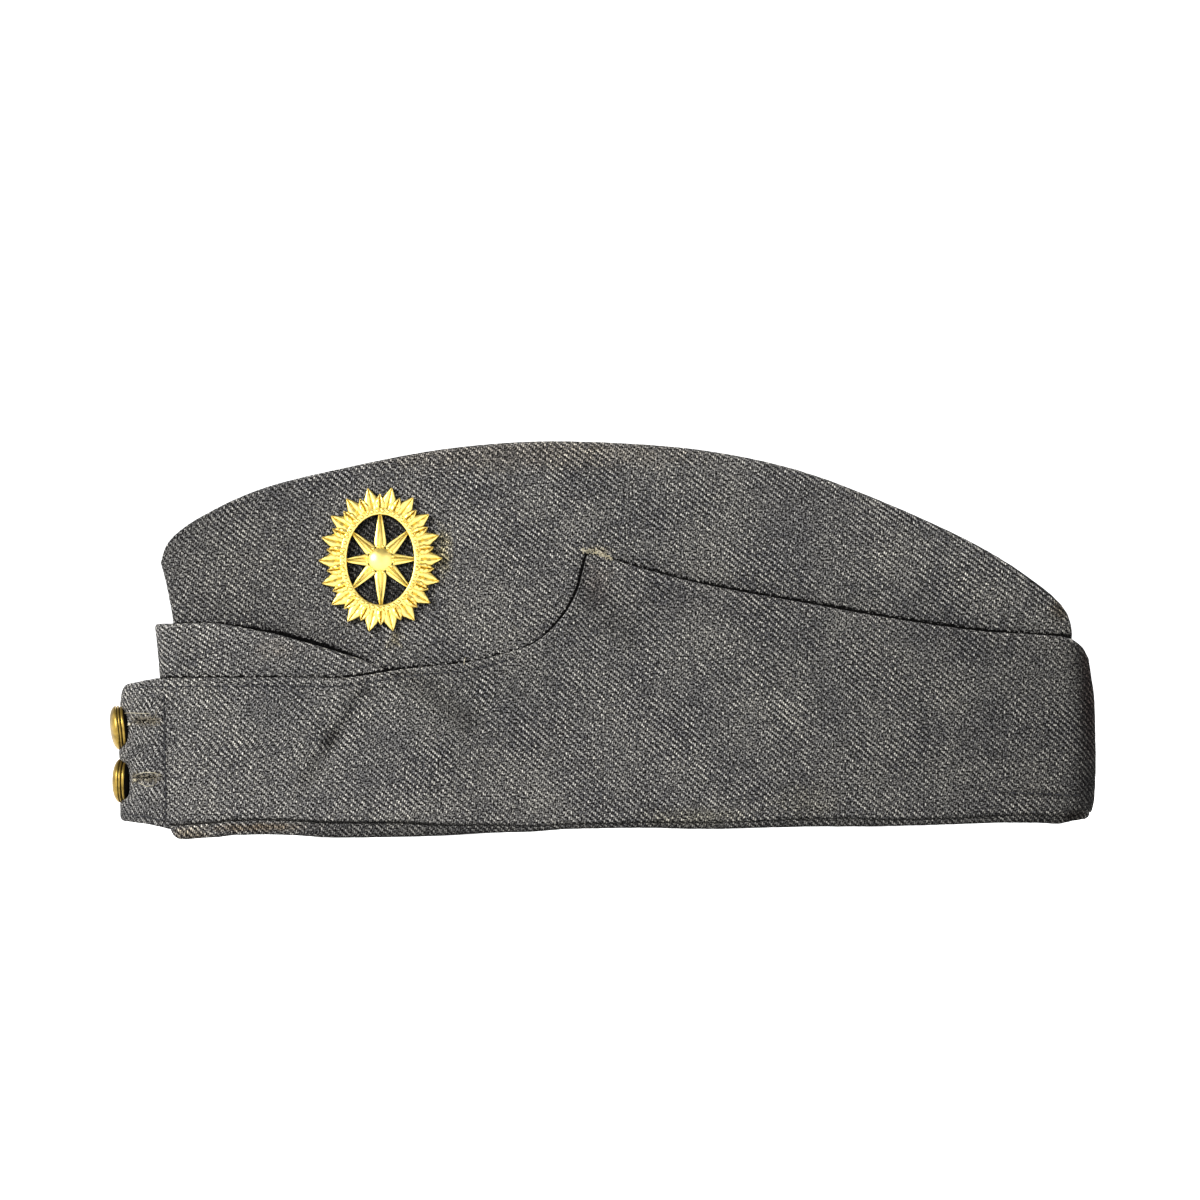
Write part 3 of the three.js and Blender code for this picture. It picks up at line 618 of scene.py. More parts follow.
top_path = top_stitch_path(-142.6, -24.0)
placket_path = [(PLACKET_X, 45.4 - PATH_STEP * k) for k in range(160)]
hem_path = [(x, tab_bottom(x) + 2.4) for x in (-142.8 + PATH_STEP * k for k in range(52))]
back_places = [121 + PATH_STEP * k for k in range(92)]
back_path = [(x, rim_lift(x) + 9.0 - 0.03 * (x - 120)) for x in back_places]
left_lines = [top_path, placket_path, hem_path, back_path]


def line_finder(lines):
    spots = [spot for line in lines for spot in line]
    tree = kdtree.KDTree(len(spots))
    for index, (x, z) in enumerate(spots):
        tree.insert((x, z, 0), index)
    tree.balance()
    return tree


left_stitches = line_finder(left_lines)
right_stitches = line_finder([top_path])
print("stitch lines:", [len(line) for line in left_lines], "points")

# %% [markdown]
# ## Curtain
# The strip is folded at the foot, so its lower edge is a soft roll that turns in under the crown, and
# at the front both ends are free tabs. A solid could be bevelled, but the section changes along the
# cap, so each row of the grid has a place for the tab and one for the fold, and a share blends them.

# %% The curtain's section
FOOT_INSET = 2.2
BUTTONHOLE_HEIGHTS = (36.1, 19.0)
BUTTONHOLES = [(-140.2, height, -131.6, height, 1.1, 0.5) for height in BUTTONHOLE_HEIGHTS]
SLIT_HALF = 0.55
PUCKERS = [  # creases that the buttons pull into the lap
    (-139.0, 28.5, -132.5, 23.5, 0.8, 1.4), (-139.5, 26.0, -134.0, 29.5, 0.5, 1.2),
    (-138.5, 13.5, -133.0, 10.0, 0.6, 1.5), (-137.5, 40.0, -131.0, 43.0, 0.5, 1.8),
]


def crown_inside(x):
    s = (2 * x - CROWN_FRONT - CROWN_BACK) / (CROWN_BACK - CROWN_FRONT - 2 * CROWN_CLOTH)
    return (CROWN_RIM_HALF - CROWN_CLOTH) * math.sqrt(max(0, 1 - s * s)) + SEAM_GAP / 2


def curtain_rows():
    """Rows from the inner rim of the foot, out and up the face, over the edge and down inside."""
    foot = [(1.2, 1.0), (0.4, 0.98), (0.05, 0.92), (0.0, 0.6), (0.0, 0.3)]
    rows = [("foot", height, reach) for height, reach in foot]
    rows += [("roll", -math.pi / 2 + math.pi * k / 9, 0) for k in range(10)]
    rows += [("lip", 0.1, 1.7), ("lip", 0.25, 0.9), ("lip", 0.55, 0.35)]
    shares = [k / 70 for k in range(71)]
    shares += [centre + 0.0075 * k for centre in (0.293, 0.712) for k in range(-3, 4)]
    rows += [("out", share, 0) for share in sorted(shares)]
    rows += [("edge", math.pi * k / 9, 0) for k in range(1, 9)]
    rows += [("in", 1 - k / 20, 0) for k in range(21)]
    shelf = [(2.5, 0.0), (2.4, 0.3), (2.4, 0.6), (2.3, 0.92), (1.9, 0.99)]
    rows += [("shelf", height, reach) for height, reach in shelf]
    return rows + [rows[0]]


def curtain_angles():
    spread = [mix(-angle_at(TAB_END), math.pi, k / 330) for k in range(331)]
    step = [angle_at(-17 + 0.5 * k) for k in range(41)]
    fold = [angle_at(FOLD_START - 0.06)] + [angle_at(FOLD_START + 0.25 * k) for k in range(9)]
    tab = [-angle_at(TAB_END - d) for d in (0.05, 0.15, 0.3, 0.5, 0.8)]
    fixed = step + fold + tab
    clear = [a for a in spread if all(abs(a - b) > 0.0022 for b in fixed)]
    return sorted(clear + fixed)


def fold_share(angle):
    """0 on the free tab, 1 where the foot turns in, with a rounded start."""
    if angle <= 0:
        return 0.0
    s = clamp01((place_at(angle) - FOLD_START) / 1.8)
    return math.sqrt(1 - (1 - s) ** 2) if s > 0 else 0.0


def curtain_dent(x, z, creases, stitches, seed, is_lap):
    """How far the outer face sinks in: creases, stitch lines, buttonholes and the slack of worn cloth."""
    dent = crease_depth(x, z, creases)
    distance = stitches.find((x, z, 0))[2]
    swell = 0.15 * math.exp(-(((distance - 1.5) / 0.9) ** 2))
    dent += 0.55 * math.exp(-((distance / 0.6) ** 2)) - swell
    if is_lap:
        dent += crease_depth(x, z, BUTTONHOLES) + crease_depth(x, z, PUCKERS)
    fade = clamp01((z - 2) / 8) * smooth_step(-140, -118, x) * (1 - smooth_step(132, 148, x))
    edge = curtain_top(x) - z
    uneven = 3 * noise.noise(Vector((x / 8, seed, 1)))
    ripple = 0.18 * math.exp(-((edge / 3.5) ** 2)) * math.sin(x / 1.9 + uneven)
    return dent + fade * (slack(x, z, seed, 0.8) + ripple)


# How deep the groove over the turned lower edge is, as a share of the deepest
LIP_DEPTH = [(-128, 1.0), (-60, 1.0), (-38, 0.5), (60, 0.35), (110, 0.5), (135, 0.4), (149, 0.1)]
lip_depth = through(LIP_DEPTH)
FAR = 99  # more mm than any pull reaches


def curtain_piece(name, side, creases, stitches, seed, is_over):
    angles, rows = curtain_angles(), curtain_rows()
    columns = len(angles) - 1
    half = CURTAIN_CLOTH / 2
    foot_rows = [row[0] for row in rows].index("out")

    def face_height(along, fold, share):
        """Height of the outer face, share 0 over the turned edge and 1 where the top edge rounds off."""
        foot = mix(tab_bottom(along), rim_lift(along), fold)
        foot += mix(half, roll_height(along) + 1.0, fold)
        return mix(foot, curtain_top(along) - half, share)

    def place(i, j):
        angle = angles[i]
        along = place_at(angle)
        fold = fold_share(angle)
        bottom = mix(tab_bottom(along), rim_lift(along), fold)
        roll = roll_height(along)
        overlap = 0 if is_over else OVERLAP_INSET * (1 - smooth_step(*OVERLAP_BLEND, along))
        top = curtain_top(along) - half
        to_tab_end = 2.3 * (TAB_END - along) if angle < 0 else FAR
        to_seam = CURTAIN_RIM_HALF * math.sin(angle) if angle > 2 else FAR
        pull = end_pull(min(to_tab_end, to_seam), 1.3)
        kind, first, second = rows[j]

        def spot_at(z, inset, dented=0.0):
            return curtain_point(angle, z, overlap + mix(inset, half, pull), dented)

        if kind == "out":
            z = face_height(along, fold, first)
            plain = spot_at(z, 0.0)
            dent = curtain_dent(plain.x, z, creases, stitches, seed, is_over and angle > 0)
            return spot_at(z, 0.0, dent)
        if kind == "edge":
            inset = half * (1 - math.cos(first))
            dent = (1 - inset / CURTAIN_CLOTH) * crease_depth(along, top, creases)
            return spot_at(top + half * math.sin(first), inset, dent)
        if kind == "in":
            z = mix(bottom + mix(half + 0.3, FOLD_CLOTH + 0.7, fold), top, first)
            return spot_at(z, CURTAIN_CLOTH, 0.25 * crease_depth(along, z, creases))
        if kind == "roll":
            depth = lip_depth(along) if first > 0 else 1.0
            z = bottom + roll / 2 * (1 + math.sin(first))
            folded = spot_at(z, 0.5 + 1.7 * depth * (1 - math.cos(first)))
        elif kind == "lip":
            folded = spot_at(bottom + roll + first, second * lip_depth(along))
        else:
            folded = spot_at(bottom + first, FOOT_INSET)
            inside = min(crown_inside(folded.x), abs(folded.y))
            folded.y = math.copysign(mix(abs(folded.y), inside, second), folded.y)
        if fold == 1:
            return folded
        t = j % (len(rows) - 1) / foot_rows if kind != "shelf" else 0.0
        rest = half * (1 - math.sin(math.pi * t))
        if kind == "shelf":
            rest += 0.05 * (len(rows) - 1 - j)
        tab = spot_at(bottom + rest, half * (1 + math.cos(math.pi * t)))
        return tab.lerp(folded, fold)

    def tone_and_shadow_at(i, j):
        kind, first, _ = rows[j]
        along, fold = place_at(angles[i]), fold_share(angles[i])
        past_front = smooth_step(-100, -80, along)
        # The rounded top edge: a little paler at its crest, rubbed and with a painted highlight, and
        # painted shade over its back
        if kind == "edge":
            return 0.08 - 0.73 * smooth_step(1.6, 2.8, first), OPEN
        # Painted shade on the inner face
        if kind == "in":
            return -0.65 * smooth_step(0.3, 1.0, first), OPEN
        # Painted shade in the groove over the turned lower edge, deeper past the front
        if kind == "lip":
            return mix(-0.3, -0.6, past_front) * lip_depth(along) * fold, OPEN
        # Painted shade on the roll where it turns under, past the front
        if kind == "roll":
            return -0.4 * past_front * fold, OPEN
        if kind == "shelf" or kind == "foot":
            return 0.0, OPEN
        z = face_height(along, fold, first)
        # Paler just under the top edge, rubbed and with a painted highlight
        pale = 0.14 * math.exp(-(((curtain_top(along) - z) / 2.2) ** 2))
        # Painted shade at the back end where the curtain turns away, in the creases, and growing towards
        # the back
        shade = 0.5 * smooth_step(141.0, 148.0, along) + 0.2 * crease_depth(along, z, creases)
        shade += 0.14 * smooth_step(20, 125, along)
        if not is_over or angles[i] <= 0:
            return pale - shade, OPEN
        # Painted shade in the stitch grooves and in the puckers round the buttons
        if z < curtain_top(along) - 6:
            shade += 0.3 * math.exp(-((stitches.find((along, z, 0))[2] / 0.7) ** 2))
            shade += 0.25 * crease_depth(along, z, PUCKERS)
        # Painted shadow inside the buttonhole slits
        slit = max(SLIT_HALF - abs(z - height) for height in BUTTONHOLE_HEIGHTS)
        return pale - shade, slit if -139.8 < along < -132.6 else OPEN

    middle = min(range(columns + 1), key=lambda i: abs(place_at(angles[i])) + FAR * (angles[i] < 0))
    start = (middle, TAPE_ROW)
    return woven_piece(name, columns, len(rows) - 1, place, start, side, tone_and_shadow_at)


curtain_left = curtain_piece("curtain_left_cloth", 1, LEFT_CREASES, left_stitches, 5.7, True)
curtain_right = curtain_piece("curtain_right_cloth", -1, RIGHT_CREASES, right_stitches, 12.3, False)
for strip in (curtain_left, curtain_right):
    turn_grain(strip, 10.0, to_x=PLACKET_X)
    turn_grain(strip, 1.5, from_x=PLACKET_X)

# %% [markdown]
# ## Stitches and loose fibres
# Thread is a real object on a cap: stitches sink into the cloth, and worn edges let single fibres
# stand off. They could be curves with a bevel, or be painted. Here a stitch is a small stretched
# ball, and a fibre is a thin curve turned to a mesh, since both catch the light at the edges.

# %% Helpers for thread
rng = random.Random(11)


def curtain_at(x, z, outward=0.0, side=1, sink=0.0):
    """A point on the curtain's outer face at a place seen from the side, in the frame."""
    angle = angle_where(lambda angle: curtain_point(angle, z, 0).x, x, 26)
    spot = curtain_point(angle, z, -outward, sink)
    return to_frame(spot.x, side * spot.y, spot.z)


def add_stitches(mesh, path, pitch, length, thickness):
    """Stretched balls laid along a path of frame points, one every pitch metres."""
    size = Matrix.Diagonal((length / 2, thickness / 2, thickness / 2, 1))
    gone = 0.0
    for before, after in zip(path, path[1:]):
        gone += (after - before).length
        if gone < pitch:
            continue
        gone -= pitch
        along = (after - before).normalized()
        turn = along.to_track_quat("X", "Z").to_matrix().to_4x4()
        shape = Matrix.Translation((before + after) / 2) @ turn @ size
        bmesh.ops.create_uvsphere(mesh, u_segments=6, v_segments=6, radius=1, matrix=shape)


def fibre_piece(name, strands, thickness):
    """Thin round threads, each through a few frame points, as one mesh."""
    curve = bpy.data.curves.new(name, "CURVE")
    curve.dimensions = "3D"
    curve.bevel_depth = thickness / 2
    curve.bevel_resolution = 0
    curve.use_fill_caps = True
    for strand in strands:
        spline = curve.splines.new("POLY")
        spline.points.add(len(strand) - 1)
        for point, spot in zip(spline.points, strand):
            point.co = (*spot, 1)
            point.radius = 1.0
        spline.points[-1].radius = 0.5
    holder = add_object(name + "_curve", curve)
    evaluated = holder.evaluated_get(bpy.context.evaluated_depsgraph_get())
    data = bpy.data.meshes.new_from_object(evaluated)
    bpy.data.objects.remove(holder)
    print(name, len(strands), "threads,", len(data.polygons), "faces")
    return add_object(name, data)


def drifting(start, heading, length, bend, steps=7):
    """A strand that leaves start along heading and wanders a little."""
    spots, spot, way = [start], start.copy(), heading.normalized()
    for _ in range(steps):
        way = (way + Vector([rng.uniform(-bend, bend) for _ in range(3)])).normalized()
        spot = spot + way * (length / steps)
        spots.append(spot.copy())
    return spots


# %% [markdown]
# ## Stitch rows
# The curtain is closed by a machine stitch of about 3 mm in dark thread, made nearly black as
# painted shade of the groove it sinks into. The rows could be one long tube each; single stitches
# leave the cloth between them, as a machine does.

# %% Stitch rows
def stitch_rows(name, lines, side):
    mesh = bmesh.new()
    for line in lines:
        path = [curtain_at(x, z, 0.0, side, 0.22) for x, z in line]
        add_stitches(mesh, path, 2.9 * MM, 2.5 * MM, 0.42 * MM)
    for face in mesh.faces:
        face.smooth = True
    return finish_mesh(name, mesh)


stitches_left = stitch_rows("curtain_left_stitches", left_lines, 1)
stitches_right = stitch_rows("curtain_right_stitches", [top_path, back_path], -1)

# %% [markdown]
# ## Buttons
# Each button is two pressed brass shells, crimped together at a groove, with a wire shank behind. It
# could be a squashed sphere, but the crimp is what catches the light on edge, so a half profile is
# spun round, as the real shell is spun or pressed. The dome is left plain.

# %% A helper that spins a profile
def spin_profile(mesh, profile, unit, steps, tolerance):
    """Turns a half profile of (radius, height) points about the Z axis."""
    verts = [mesh.verts.new((radius * unit, 0, height * unit)) for radius, height in profile]
    edges = [mesh.edges.new(pair) for pair in zip(verts, verts[1:])]
    bmesh.ops.spin(
        mesh, geom=verts + edges, cent=(0, 0, 0), axis=(0, 0, 1), angle=2 * math.pi, steps=steps,
        use_merge=True, use_normal_flip=False, dvec=(0, 0, 0),
    )
    bmesh.ops.remove_doubles(mesh, verts=mesh.verts, dist=tolerance)


# %% Buttons
BUTTON_PROFILE = [  # radius, height over the button's back; the back is domed and the rim crimped
    (0.0, -1.35), (2.2, -1.3), (4.0, -1.0), (5.2, -0.5), (5.9, -0.1), (6.35, 0.3), (6.5, 0.6),
    (6.4, 1.0), (6.1, 1.15), (6.1, 1.3), (6.45, 1.35), (6.62, 1.55), (6.66, 1.75), (6.55, 1.95),
    (6.2, 2.0), (6.2, 2.12), (6.58, 2.17), (6.66, 2.4), (6.55, 2.75), (6.28, 3.15), (5.8, 3.55),
    (5.1, 3.92), (4.2, 4.22), (3.0, 4.45), (1.6, 4.6), (0.0, 4.64),
]
BUTTON_DARK = [(-2.0, 0.45), (1.1, 1.33), (1.97, 2.15)]  # heights of the back, near black as painted shade with a dull crust, and of the tarnished grooves
BUTTON_TURNS = {"upper": (0, -5), "lower": (-10, 2)}  # about the vertical and about the cap's width
SHANK_LOOP, SHANK_WIRE, SHANK_DEPTH, SHANK_STEPS = 1.9, 0.45, 1.7, 24


def button_seat(which):
    turn, lean = (math.radians(degrees) for degrees in BUTTON_TURNS[which])
    facing = Matrix.Rotation(turn, 4, "Z") @ Matrix.Rotation(lean, 4, "Y")
    facing = facing @ Matrix.Rotation(-math.pi / 2, 4, "Y")
    return Matrix.Translation(to_frame(*BUTTON_SEATS[which])) @ facing


def button_piece(which):
    mesh = bmesh.new()
    spin_profile(mesh, BUTTON_PROFILE, MM, 72, 1e-6)
    # The shank: a wire loop soldered to the back
    loop_turn = Matrix.Translation((0, 0, -SHANK_DEPTH * MM)) @ Matrix.Rotation(math.pi / 2, 4, "Y")
    wire = Matrix.Translation((SHANK_LOOP * MM, 0, 0)) @ Matrix.Rotation(math.pi / 2, 4, "X")
    rings = []
    for k in range(SHANK_STEPS):
        place = loop_turn @ (Matrix.Rotation(2 * math.pi * k / SHANK_STEPS, 4, "Z") @ wire)
        made = bmesh.ops.create_circle(mesh, segments=10, radius=SHANK_WIRE * MM, matrix=place)
        rings.append([e for v in made["verts"] for e in v.link_edges if e.other_vert(v) in made["verts"]])
    for one, other in zip(rings, rings[1:] + rings[:1]):
        bmesh.ops.bridge_loops(mesh, edges=list(set(one + other)))
    bmesh.ops.recalc_face_normals(mesh, faces=mesh.faces)
    for face in mesh.faces:
        face.smooth = True
        height = face.calc_center_median().z / MM
        face.material_index = 1 if any(low < height < high for low, high in BUTTON_DARK) else 0
    bmesh.ops.transform(mesh, matrix=button_seat(which), verts=mesh.verts)
    return finish_mesh("button_" + which + "_brass", mesh)


buttons = {which: button_piece(which) for which in BUTTON_SEATS}

# %% [markdown]
# ## Buttonholes
# A hand-worked buttonhole is a slit with an edge of close whip stitches, which have frayed here. The
# slit is already sunk into the lap; the worked edge could be a raised lip, but separate stitches of
# undyed thread show the wear, with a knot at each shank and a few ends that have come loose.

# %% Buttonholes and their threads
HOLE_START, HOLE_END, WHIPS, WORN_AWAY = -139.6, -131.4, 43, 0.62


def buttonhole_strands(height):
    strands = []
    for k in range(WHIPS + 1):
        x = mix(HOLE_START, HOLE_END, k / WHIPS)
        for way in (1, -1):
            if rng.random() < WORN_AWAY:
                continue
            reach = rng.uniform(0.5, 1.9) * way
            lean = rng.uniform(-1.2, 1.2)
            inner = curtain_at(x, height + 0.2 * way, 0.05, 1, 0.6)
            middle = curtain_at(x + lean / 2, height + 0.6 * way, 0.32, 1, 0.0)
            outer = curtain_at(x + lean, height + reach, 0.05, 1, 0.0)
            strands.append([inner, middle, outer])
    for _ in range(16):
        x = rng.uniform(-139.4, -132.0)
        start = curtain_at(x, height + rng.uniform(-1.0, 1.0), 0.1)
        heading = Vector((rng.uniform(-0.3, 1), rng.uniform(-0.9, -0.2), rng.uniform(-0.7, 0.7)))
        strands.append(drifting(start, heading, rng.uniform(1.5, 3.5) * MM, 0.6, 5))
    return strands


worked_strands = [s for height in BUTTONHOLE_HEIGHTS for s in buttonhole_strands(height)]
worked_edges = fibre_piece("buttonhole_threads", worked_strands, 0.2 * MM)

# %% Knots at the shanks, and loose ends
SHANK_KNOTS = [(-139.9, 35.0), (-138.4, 18.2)]


def shank_strands(x, z):
    """A few turns of thread wound into a small ball where the shank comes through."""
    strands = []
    seat = curtain_at(x, z, 0.5)
    for _ in range(9):
        lean = Matrix.Rotation(rng.uniform(-0.9, 0.9), 3, "X")
        lean = lean @ Matrix.Rotation(rng.uniform(0, 3), 3, "Z")
        turns = [Vector((math.cos(1.3 * k), 0, math.sin(1.3 * k))) for k in range(6)]
        strands.append([seat + 0.32 * MM * (lean @ turn) for turn in turns])
    for dx, dz in ((-1.6, -0.4), (-1.4, 0.6)):
        strands.append([seat, curtain_at(x + dx / 2, z + dz / 2, 0.3), curtain_at(x + dx, z + dz, -0.3)])
    return strands


knot_strands = [s for x, z in SHANK_KNOTS for s in shank_strands(x, z)]
shank_knots = fibre_piece("shank_threads", knot_strands, 0.3 * MM)

LOOSE_ENDS = [  # places on the cap's side, x and z in mm, and how far each stands off
    [
        (-143.8, 37.3, 1.9), (-142.0, 38.2, 1.6), (-139.5, 38.5, 1.2), (-136.5, 38.3, 0.6),
        (-133.9, 38.2, 0.2),
    ],
    [(-138.5, 19.8, 0.6), (-135.5, 20.6, 0.7), (-132.6, 20.4, 0.5), (-130.8, 19.6, 0.2)],
    [(-137.5, 17.5, 0.4), (-135.2, 16.4, 0.5), (-133.2, 16.6, 0.2)],
    [(-39.7, 51.2, 0.4), (-39.3, 52.3, 1.0), (-38.9, 53.3, 1.3)],
]
loose_strands = [[curtain_at(x, z, off) for x, z, off in end] for end in LOOSE_ENDS]
loose_ends = fibre_piece("loose_threads", loose_strands, 0.2 * MM)

# %% [markdown]
# ## Frayed corner
# At the step of the curtain's edge the stitching has given way, and pale inner fibres stand out. It
# could be a patch of colour, but it breaks the edge's line, so it is a tuft of short fibres.

# %% Frayed corner
def crown_seat(x, z, outward):
    spot = crown_at(x, z)
    return to_frame(spot.x, spot.y - outward, spot.z)


def fray_strands():
    strands = []
    for _ in range(46):
        x = rng.uniform(-4.4, 1.6)
        z = 84.2 - 0.12 * (x + 3) + rng.uniform(-0.1, 0.8)
        start = crown_seat(x, z, rng.uniform(0.2, 1.6))
        heading = Vector((rng.uniform(-0.2, 1.0), rng.uniform(-0.4, 0.1), rng.uniform(-0.4, 0.4)))
        strands.append(drifting(start, heading, rng.uniform(0.6, 1.4) * MM, 0.6, 5))
    for _ in range(80):
        x = rng.uniform(1.2, 4.6)
        z = 83.3 - 0.3 * (x - 1.2) + rng.uniform(-1.0, 0.5)
        start = crown_seat(x, z, rng.uniform(1.4, 3.3))
        heading = Vector((rng.uniform(-0.4, 1.0), rng.uniform(-0.5, 0.0), rng.uniform(-0.9, 0.4)))
        strands.append(drifting(start, heading, rng.uniform(0.6, 1.5) * MM, 0.8, 5))
    return strands


frayed_corner = fibre_piece("frayed_corner", fray_strands(), 0.24 * MM)

# %% [markdown]
# ## Badge
# The badge is stamped from gilding metal: a rayed star inside a beaded hoop, fringed with leaves, and
# pierced between the rays. It could be one carved disc. Each leaf and ray is a small sheet instead,
# drawn to its outline and raised to its relief, as a die raises it, and the same shape is repeated.

# %% Where the badge sits
HOOP_WIDTH, HOOP_HEIGHT, HOOP_BAND = 11.2, 14.7, 2.2  # half axes of the oval, and the band's width
PLATE, LEAF_ROOT = 0.9, 1.4
HOOP_TOP = PLATE + 0.45
LEAF_LAYERS = [(0.0, 7.6, 2.6, 1.5), (0.5, 5.4, 2.1, 2.1)]  # offset, length, half width, rise
LEAF_COUNT, RAY_COUNT, BEAD_COUNT, BOSS_BEADS = 18, 8, 44, 16


def badge_seat():
    def at(u, v):
        return crown_at(BADGE_X + u, BADGE_Z + v)

    reach = HOOP_BAND / 2 - LEAF_ROOT + LEAF_LAYERS[0][1]
    wide, tall = HOOP_WIDTH + reach, HOOP_HEIGHT + reach
    along = (at(wide, 0) - at(-wide, 0)).normalized()
    up = (at(0, tall) - at(0, -tall)).normalized()
    out = along.cross(up).normalized()
    up = out.cross(along)
    centre = at(0, 0)
    shares = [-0.7, -0.35, 0, 0.35, 0.7]
    rises = [(at(u * wide, v * tall) - centre).dot(out) for u in shares for v in shares]
    stand = max(rises) + 0.35
    spot = to_frame(*(centre + stand * out))
    turn = Matrix((along, up, out)).transposed().to_4x4()
    return Matrix.Translation(spot) @ turn @ Matrix.Scale(MM, 4), stand


badge_frame, badge_stand = badge_seat()
print("the badge stands", round(badge_stand, 2), "mm off the cloth at its middle")


# %% Helpers for the badge, and a blade raised from a flat outline
def edges_of(verts):
    return list({edge for vertex in verts for edge in vertex.link_edges})


def raise_faces(mesh, faces):
    """Extrudes faces in place and returns the new vertices."""
    raised = bmesh.ops.extrude_face_region(mesh, geom=faces)["geom"]
    return [part for part in raised if isinstance(part, bmesh.types.BMVert)]


def bevel_edges(mesh, edges, offset, segments):
    bmesh.ops.bevel(mesh, geom=edges, offset=offset, offset_type="OFFSET", segments=segments,
                    profile=0.5, affect="EDGES", material=-1)


def polish_and_shade(verts, polish_and_painted_shade, low, high):
    """What stands high has been polished, and what lies low is darker with tarnish and painted shade: the
    value grows from one height to another.
    """
    for vertex in verts:
        vertex[polish_and_painted_shade] = smooth_step(low, high, vertex.co.z)


def add_blade(mesh, polish_and_painted_shade, matrix, length, width_at, relief_at):
    """A closed blade along +Y: width_at(t) is its half width, relief_at(s, t) its height. Its polished
    high places, and the tarnish and painted shade of its low and sloping places, come from its height and
    its slope."""
    foot = bmesh.ops.create_grid(mesh, x_segments=8, y_segments=12, size=1)["verts"]
    faces = list({face for vertex in foot for face in vertex.link_faces})
    place = {}
    for vertex in foot:
        s, t = vertex.co.x, (vertex.co.y + 1) / 2
        vertex.co = (s * width_at(t), t * length, 0)
        place[tuple(round(c, 5) for c in vertex.co)] = (s, t)
    top = raise_faces(mesh, faces)
    for vertex in top:
        s, t = place[tuple(round(c, 5) for c in vertex.co)]
        vertex.co.z = relief_at(s, t)
        vertex[polish_and_painted_shade] = clamp01(relief_at(s, t) / relief_at(0.5, t) - 0.35 * abs(s) ** 3)
    bmesh.ops.transform(mesh, matrix=matrix, verts=foot + top)


def leaf_width(half_width):
    return lambda t: 0.12 + 0.82 * half_width * math.sin(math.pi * clamp01(0.02 + 0.96 * t) ** 0.8)


def leaf_relief(rise):
    def relief_at(s, t):
        lobe = math.sin(math.pi * clamp01(abs(s)) ** 0.75) ** 0.7
        veins = 0.14 * math.cos(2 * math.pi * (3.6 * t - 1.2 * abs(s)))
        return 0.3 + (rise - 0.3) * (1 - 0.3 * t) * clamp01(0.3 + (0.6 + veins) * lobe)

    return relief_at


def ray_width(t):
    return mix(0.6, 1.9, clamp01(t / 0.35)) if t < 0.35 else mix(1.9, 0.35, (t - 0.35) / 0.65)


def ray_relief(s, t):
    ridge = mix(2.1, PLATE + 0.25, t)
    return mix(ridge, PLATE * 0.6, abs(s)) - 0.3 * math.exp(-(((abs(s) - 0.5) / 0.18) ** 2))


# %% The badge
def badge_piece():
    mesh = bmesh.new()
    polish_and_painted_shade = mesh.verts.layers.float.new("polish_and_painted_shade")
    half = HOOP_BAND / 2
    rims = []
    for offset in (half, -half):
        oval = Matrix.Diagonal((HOOP_WIDTH + offset, HOOP_HEIGHT + offset, 1, 1))
        made = bmesh.ops.create_circle(mesh, segments=120, radius=1, matrix=oval)["verts"]
        rims += edges_of(made)
    top = raise_faces(mesh, bmesh.ops.bridge_loops(mesh, edges=rims)["faces"])
    bmesh.ops.translate(mesh, verts=top, vec=(0, 0, HOOP_TOP))
    top_set = set(top)
    crest = [edge for edge in mesh.edges if edge.is_manifold and set(edge.verts) <= top_set]
    bevel_edges(mesh, [edge for edge in crest if edge.calc_face_angle(0) > 1], 0.5, 3)
    polish_and_shade(mesh.verts, polish_and_painted_shade, 0.6, 1.3)

    def on_hoop(turn):
        return Matrix.Translation((HOOP_WIDTH * math.cos(turn), HOOP_HEIGHT * math.sin(turn), 0))

    for k in range(BEAD_COUNT):
        turn = 2 * math.pi * (k + 0.5) / BEAD_COUNT
        seat = on_hoop(turn) @ Matrix.Translation((0, 0, HOOP_TOP))
        bead = bmesh.ops.create_icosphere(mesh, subdivisions=2, radius=0.62, matrix=seat)["verts"]
        polish_and_shade(bead, polish_and_painted_shade, PLATE + 0.4, PLATE + 0.95)
    for offset, length, half_width, rise in LEAF_LAYERS:
        for k in range(LEAF_COUNT):
            turn = 2 * math.pi * (k + offset) / LEAF_COUNT
            outwards = math.atan2(math.sin(turn) / HOOP_HEIGHT, math.cos(turn) / HOOP_WIDTH)
            seat = on_hoop(turn) @ Matrix.Rotation(outwards - math.pi / 2, 4, "Z")
            root = Matrix.Translation((0, half - LEAF_ROOT, 0))
            add_blade(mesh, polish_and_painted_shade, seat @ root, length, leaf_width(half_width), leaf_relief(rise))
    for k in range(RAY_COUNT):
        turn = 2 * math.pi * k / RAY_COUNT
        length = 1 / math.hypot(math.cos(turn) / HOOP_WIDTH, math.sin(turn) / HOOP_HEIGHT)
        pointing = Matrix.Rotation(turn - math.pi / 2, 4, "Z")
        add_blade(mesh, polish_and_painted_shade, pointing, length, ray_width, ray_relief)
    dome = Matrix.Diagonal((4.2, 4.2, 2.7, 1))
    boss = bmesh.ops.create_uvsphere(mesh, u_segments=48, v_segments=24, radius=1, matrix=dome)["verts"]
    polish_and_shade(boss, polish_and_painted_shade, 0.8, 1.8)
    for vertex in boss:
        vertex.co.z = max(vertex.co.z, 0)
    for k in range(BOSS_BEADS):
        turn = 2 * math.pi * (k + 0.5) / BOSS_BEADS
        seat = Matrix.Translation((3.95 * math.cos(turn), 3.95 * math.sin(turn), 1.0))
        bead = bmesh.ops.create_icosphere(mesh, subdivisions=2, radius=0.5, matrix=seat)["verts"]
        polish_and_shade(bead, polish_and_painted_shade, 0.9, 1.4)
    return mesh


